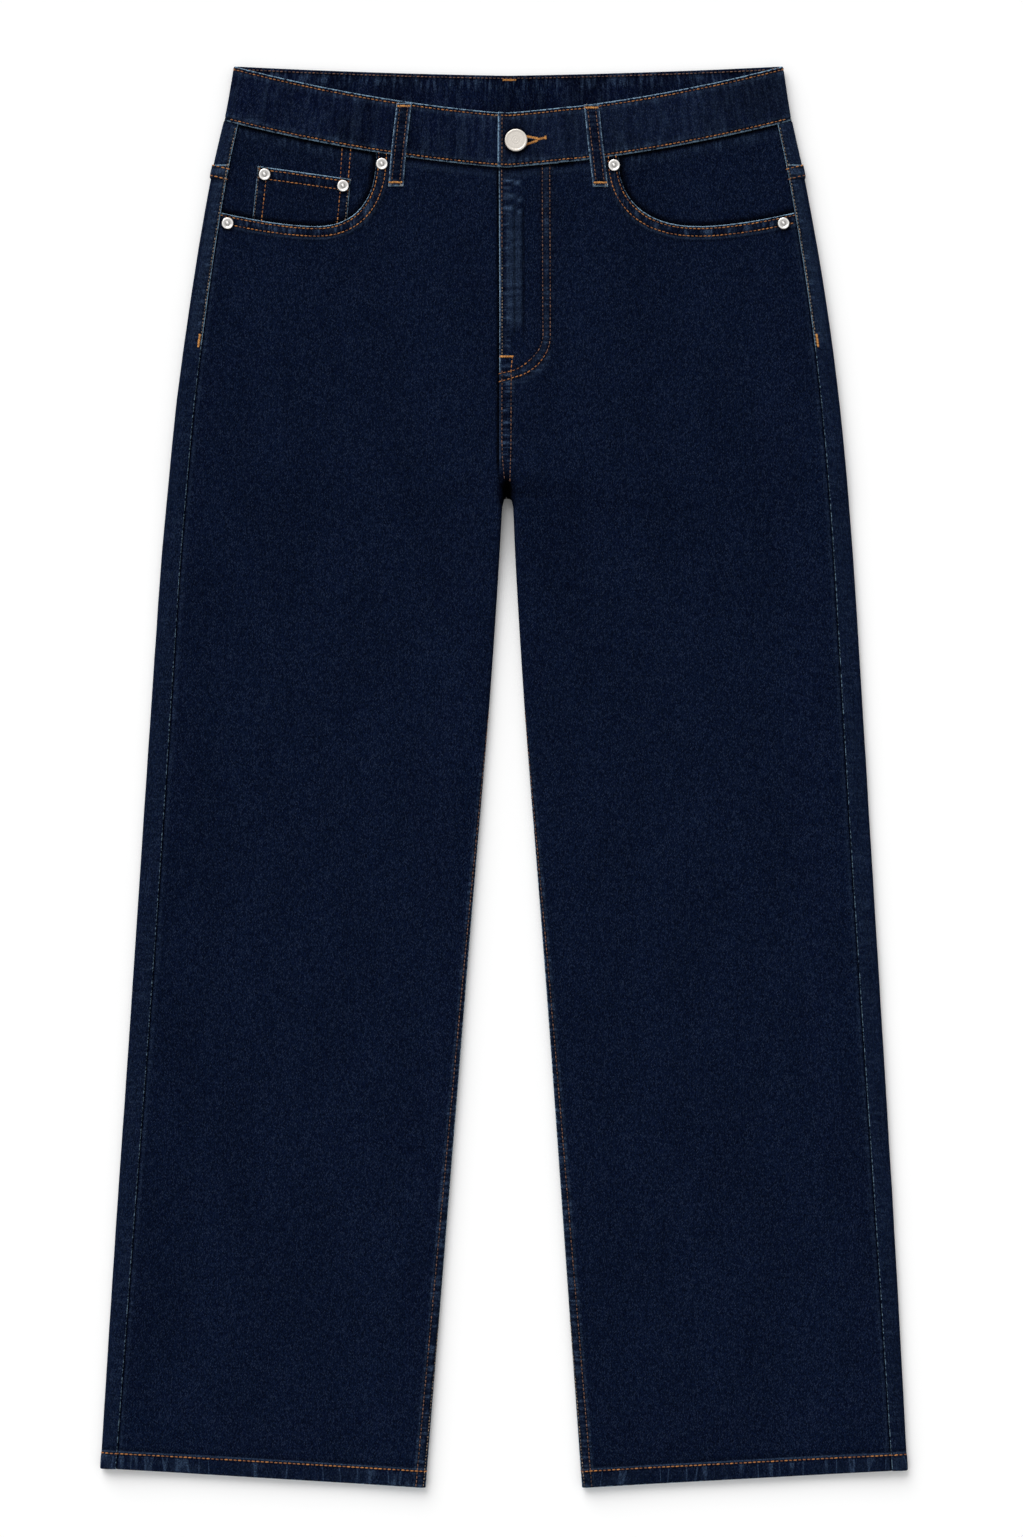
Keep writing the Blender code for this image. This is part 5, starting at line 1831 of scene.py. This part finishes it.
studio = dict(sunFrom=(-0.406, 0.914), sunRise=math.radians(30), sunSpread=math.radians(50), sunPower=2.5,
              skyFrom=(-0.35, 0.85, 0.4), skyLow=0.31, skyHigh=0.78, floorColour=0.985, floorLift=0.035,
              # the paper's painted shadow between the legs: its centre, reach and darkest colour
              paintedShadowAt=(0.003, 0.208, 0), paintedShadowReach=0.047, paintedShadowColour=0.52,
              floorHalf=40.0, floorLevel=-0.0006, eye=(0.00544, 0.006, 2.7278), lens=85, sensor=36)


def seenRays(tree):
    # 1 for the rays that see the background: the camera's, a mirror's and those through glass.
    path = node(tree, "ShaderNodeLightPath")
    either = math1("MAXIMUM", path.outputs["Is Camera Ray"], path.outputs["Is Glossy Ray"])
    return math1("MAXIMUM", either, path.outputs["Is Transmission Ray"])


def floorMaterial():
    # Pale paper, lifted to white where it is seen, so that only the shadow stays, with a painted shadow
    # at the deep end of the space between the legs.
    material, tree, shader = newMaterial("paper")
    shader.inputs["Roughness"].default_value = 0.95
    shader.inputs["Specular IOR Level"].default_value = 0.0
    shader.inputs["Emission Color"].default_value = (1, 1, 1, 1)
    feed(shader.inputs["Emission Strength"], mixValue(seenRays(tree), 0.0, studio["floorLift"]))
    # painted shadow: the paper's colour is darker round the deep end of the space between the legs,
    # standing in for the light that comes in low and is blocked there
    spot = node(tree, "ShaderNodeTexCoord").outputs["Object"]
    away = vectorMath("DISTANCE", spot, studio["paintedShadowAt"])
    spread = math1("DIVIDE", away.outputs["Value"], studio["paintedShadowReach"])
    fall = math1("POWER", math.e, times(spread, spread, -1.0))
    feed(shader.inputs["Base Color"], grey(mixValue(fall, studio["floorColour"], studio["paintedShadowColour"])))
    return material


def litWorld():
    # Soft light from all round, a little stronger from beyond the waist.
    world = bpy.data.worlds.new("studio")
    world.use_nodes = True
    tree = world.node_tree
    direction = node(tree, "ShaderNodeTexCoord").outputs["Generated"]
    toward = vectorMath("DOT_PRODUCT", direction, studio["skyFrom"])
    soft = remap(toward.outputs["Value"], -1.0, 1.0, studio["skyLow"], studio["skyHigh"], "LINEAR")
    background = tree.nodes["Background"]
    background.inputs["Color"].default_value = (1, 1, 1, 1)
    feed(background.inputs["Strength"], mixValue(seenRays(tree), soft, 1.0))
    return world


def makeStudio():
    scene = bpy.context.scene
    half, level = studio["floorHalf"], studio["floorLevel"]
    floorMesh = bpy.data.meshes.new("floor")
    corners = [(-half, -half, level), (half, -half, level), (half, half, level), (-half, half, level)]
    floorMesh.from_pydata(corners, [], [(0, 1, 2, 3)])
    floorMesh.materials.append(floorMaterial())
    floor = newObject("floor", floorMesh)

    lamp = bpy.data.lights.new("sun", "SUN")
    lamp.energy, lamp.angle = studio["sunPower"], studio["sunSpread"]
    sun = newObject("sun", lamp)
    flat = math.cos(studio["sunRise"])
    ray = Vector((studio["sunFrom"][0] * flat, studio["sunFrom"][1] * flat, math.sin(studio["sunRise"])))
    sun.rotation_euler = ray.to_track_quat("Z", "Y").to_euler()

    camera = bpy.data.cameras.new("camera")
    camera.lens, camera.sensor_width = studio["lens"], studio["sensor"]
    eye = newObject("camera", camera)
    eye.location = studio["eye"]
    scene.world = litWorld()
    scene.camera = eye
    scene.view_settings.view_transform = "Standard"
    return floor


makeStudio()

# Each cloth piece: the CAD node it stands for, its cut laid flat as width, length and area, and what it
# lies on
cuts = [
    dict(piece=backLeft, node="back_left", flat=(0.320, 0.992), area=0.257, on=["floor"]),
    dict(piece=backRight, node="back_right", flat=(0.324, 0.992), area=0.257, on=["floor"]),
    dict(piece=yokeLeft, node="yoke_left", flat=(0.238, 0.078), area=0.013, on=["backLeft"]),
    dict(piece=yokeRight, node="yoke_right", flat=(0.237, 0.078), area=0.013, on=["backRight"]),
    dict(piece=backPocketLeft, node="back_pocket_left", flat=(0.142, 0.173), area=0.021, on=["backLeft"]),
    dict(piece=backPocketRight, node="back_pocket_right", flat=(0.142, 0.173), area=0.021, on=["backRight"]),
    dict(piece=facingLeft, node="pocket_facing_left", flat=(0.165, 0.115), area=0.016, on=["backLeft"]),
    dict(piece=facingRight, node="pocket_facing_right", flat=(0.149, 0.115), area=0.0145, on=["backRight"]),
    dict(piece=coinPocket, node="coin_pocket", flat=(0.0705, 0.064), on=["facingRight"]),
    dict(piece=flyShield, node="fly_shield", flat=(0.042, 0.131), area=0.0046, on=["frontRight"]),
    dict(piece=frontLeft, node="front_left", flat=(0.296, 1.0), area=0.229, on=["backLeft", "flyShield"]),
    dict(piece=frontRight, node="front_right", flat=(0.295, 1.003), area=0.228, on=["backRight"]),
    dict(piece=waistband, node="waistband", flat=(0.906, 0.041), on=["yokeLeft", "yokeRight"]),
]
for label, obj in beltLoops.items():
    length = math.dist(loops[label]["top"], loops[label]["low"]) * mm
    flat = (loopWidth * mm, length)
    cuts.append(dict(piece=obj, node=loops[label]["node"], flat=flat, on=["bandCloth"]))
for obj in zipTapes:
    cuts.append(dict(piece=obj, node="zip", flat=(0.0108, 0.124), on=["flyShield"]))
for row in cuts:
    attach(row["piece"], "root")
    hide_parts(row["node"])
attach(button, "root")
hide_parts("button")
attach(rivetSet, "root")
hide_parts(*[r["node"] for r in rivets])
for obj in (zipChain, *zipSlider):
    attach(obj, "root")
    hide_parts("zip")
for obj in stitches:
    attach(obj, "root")
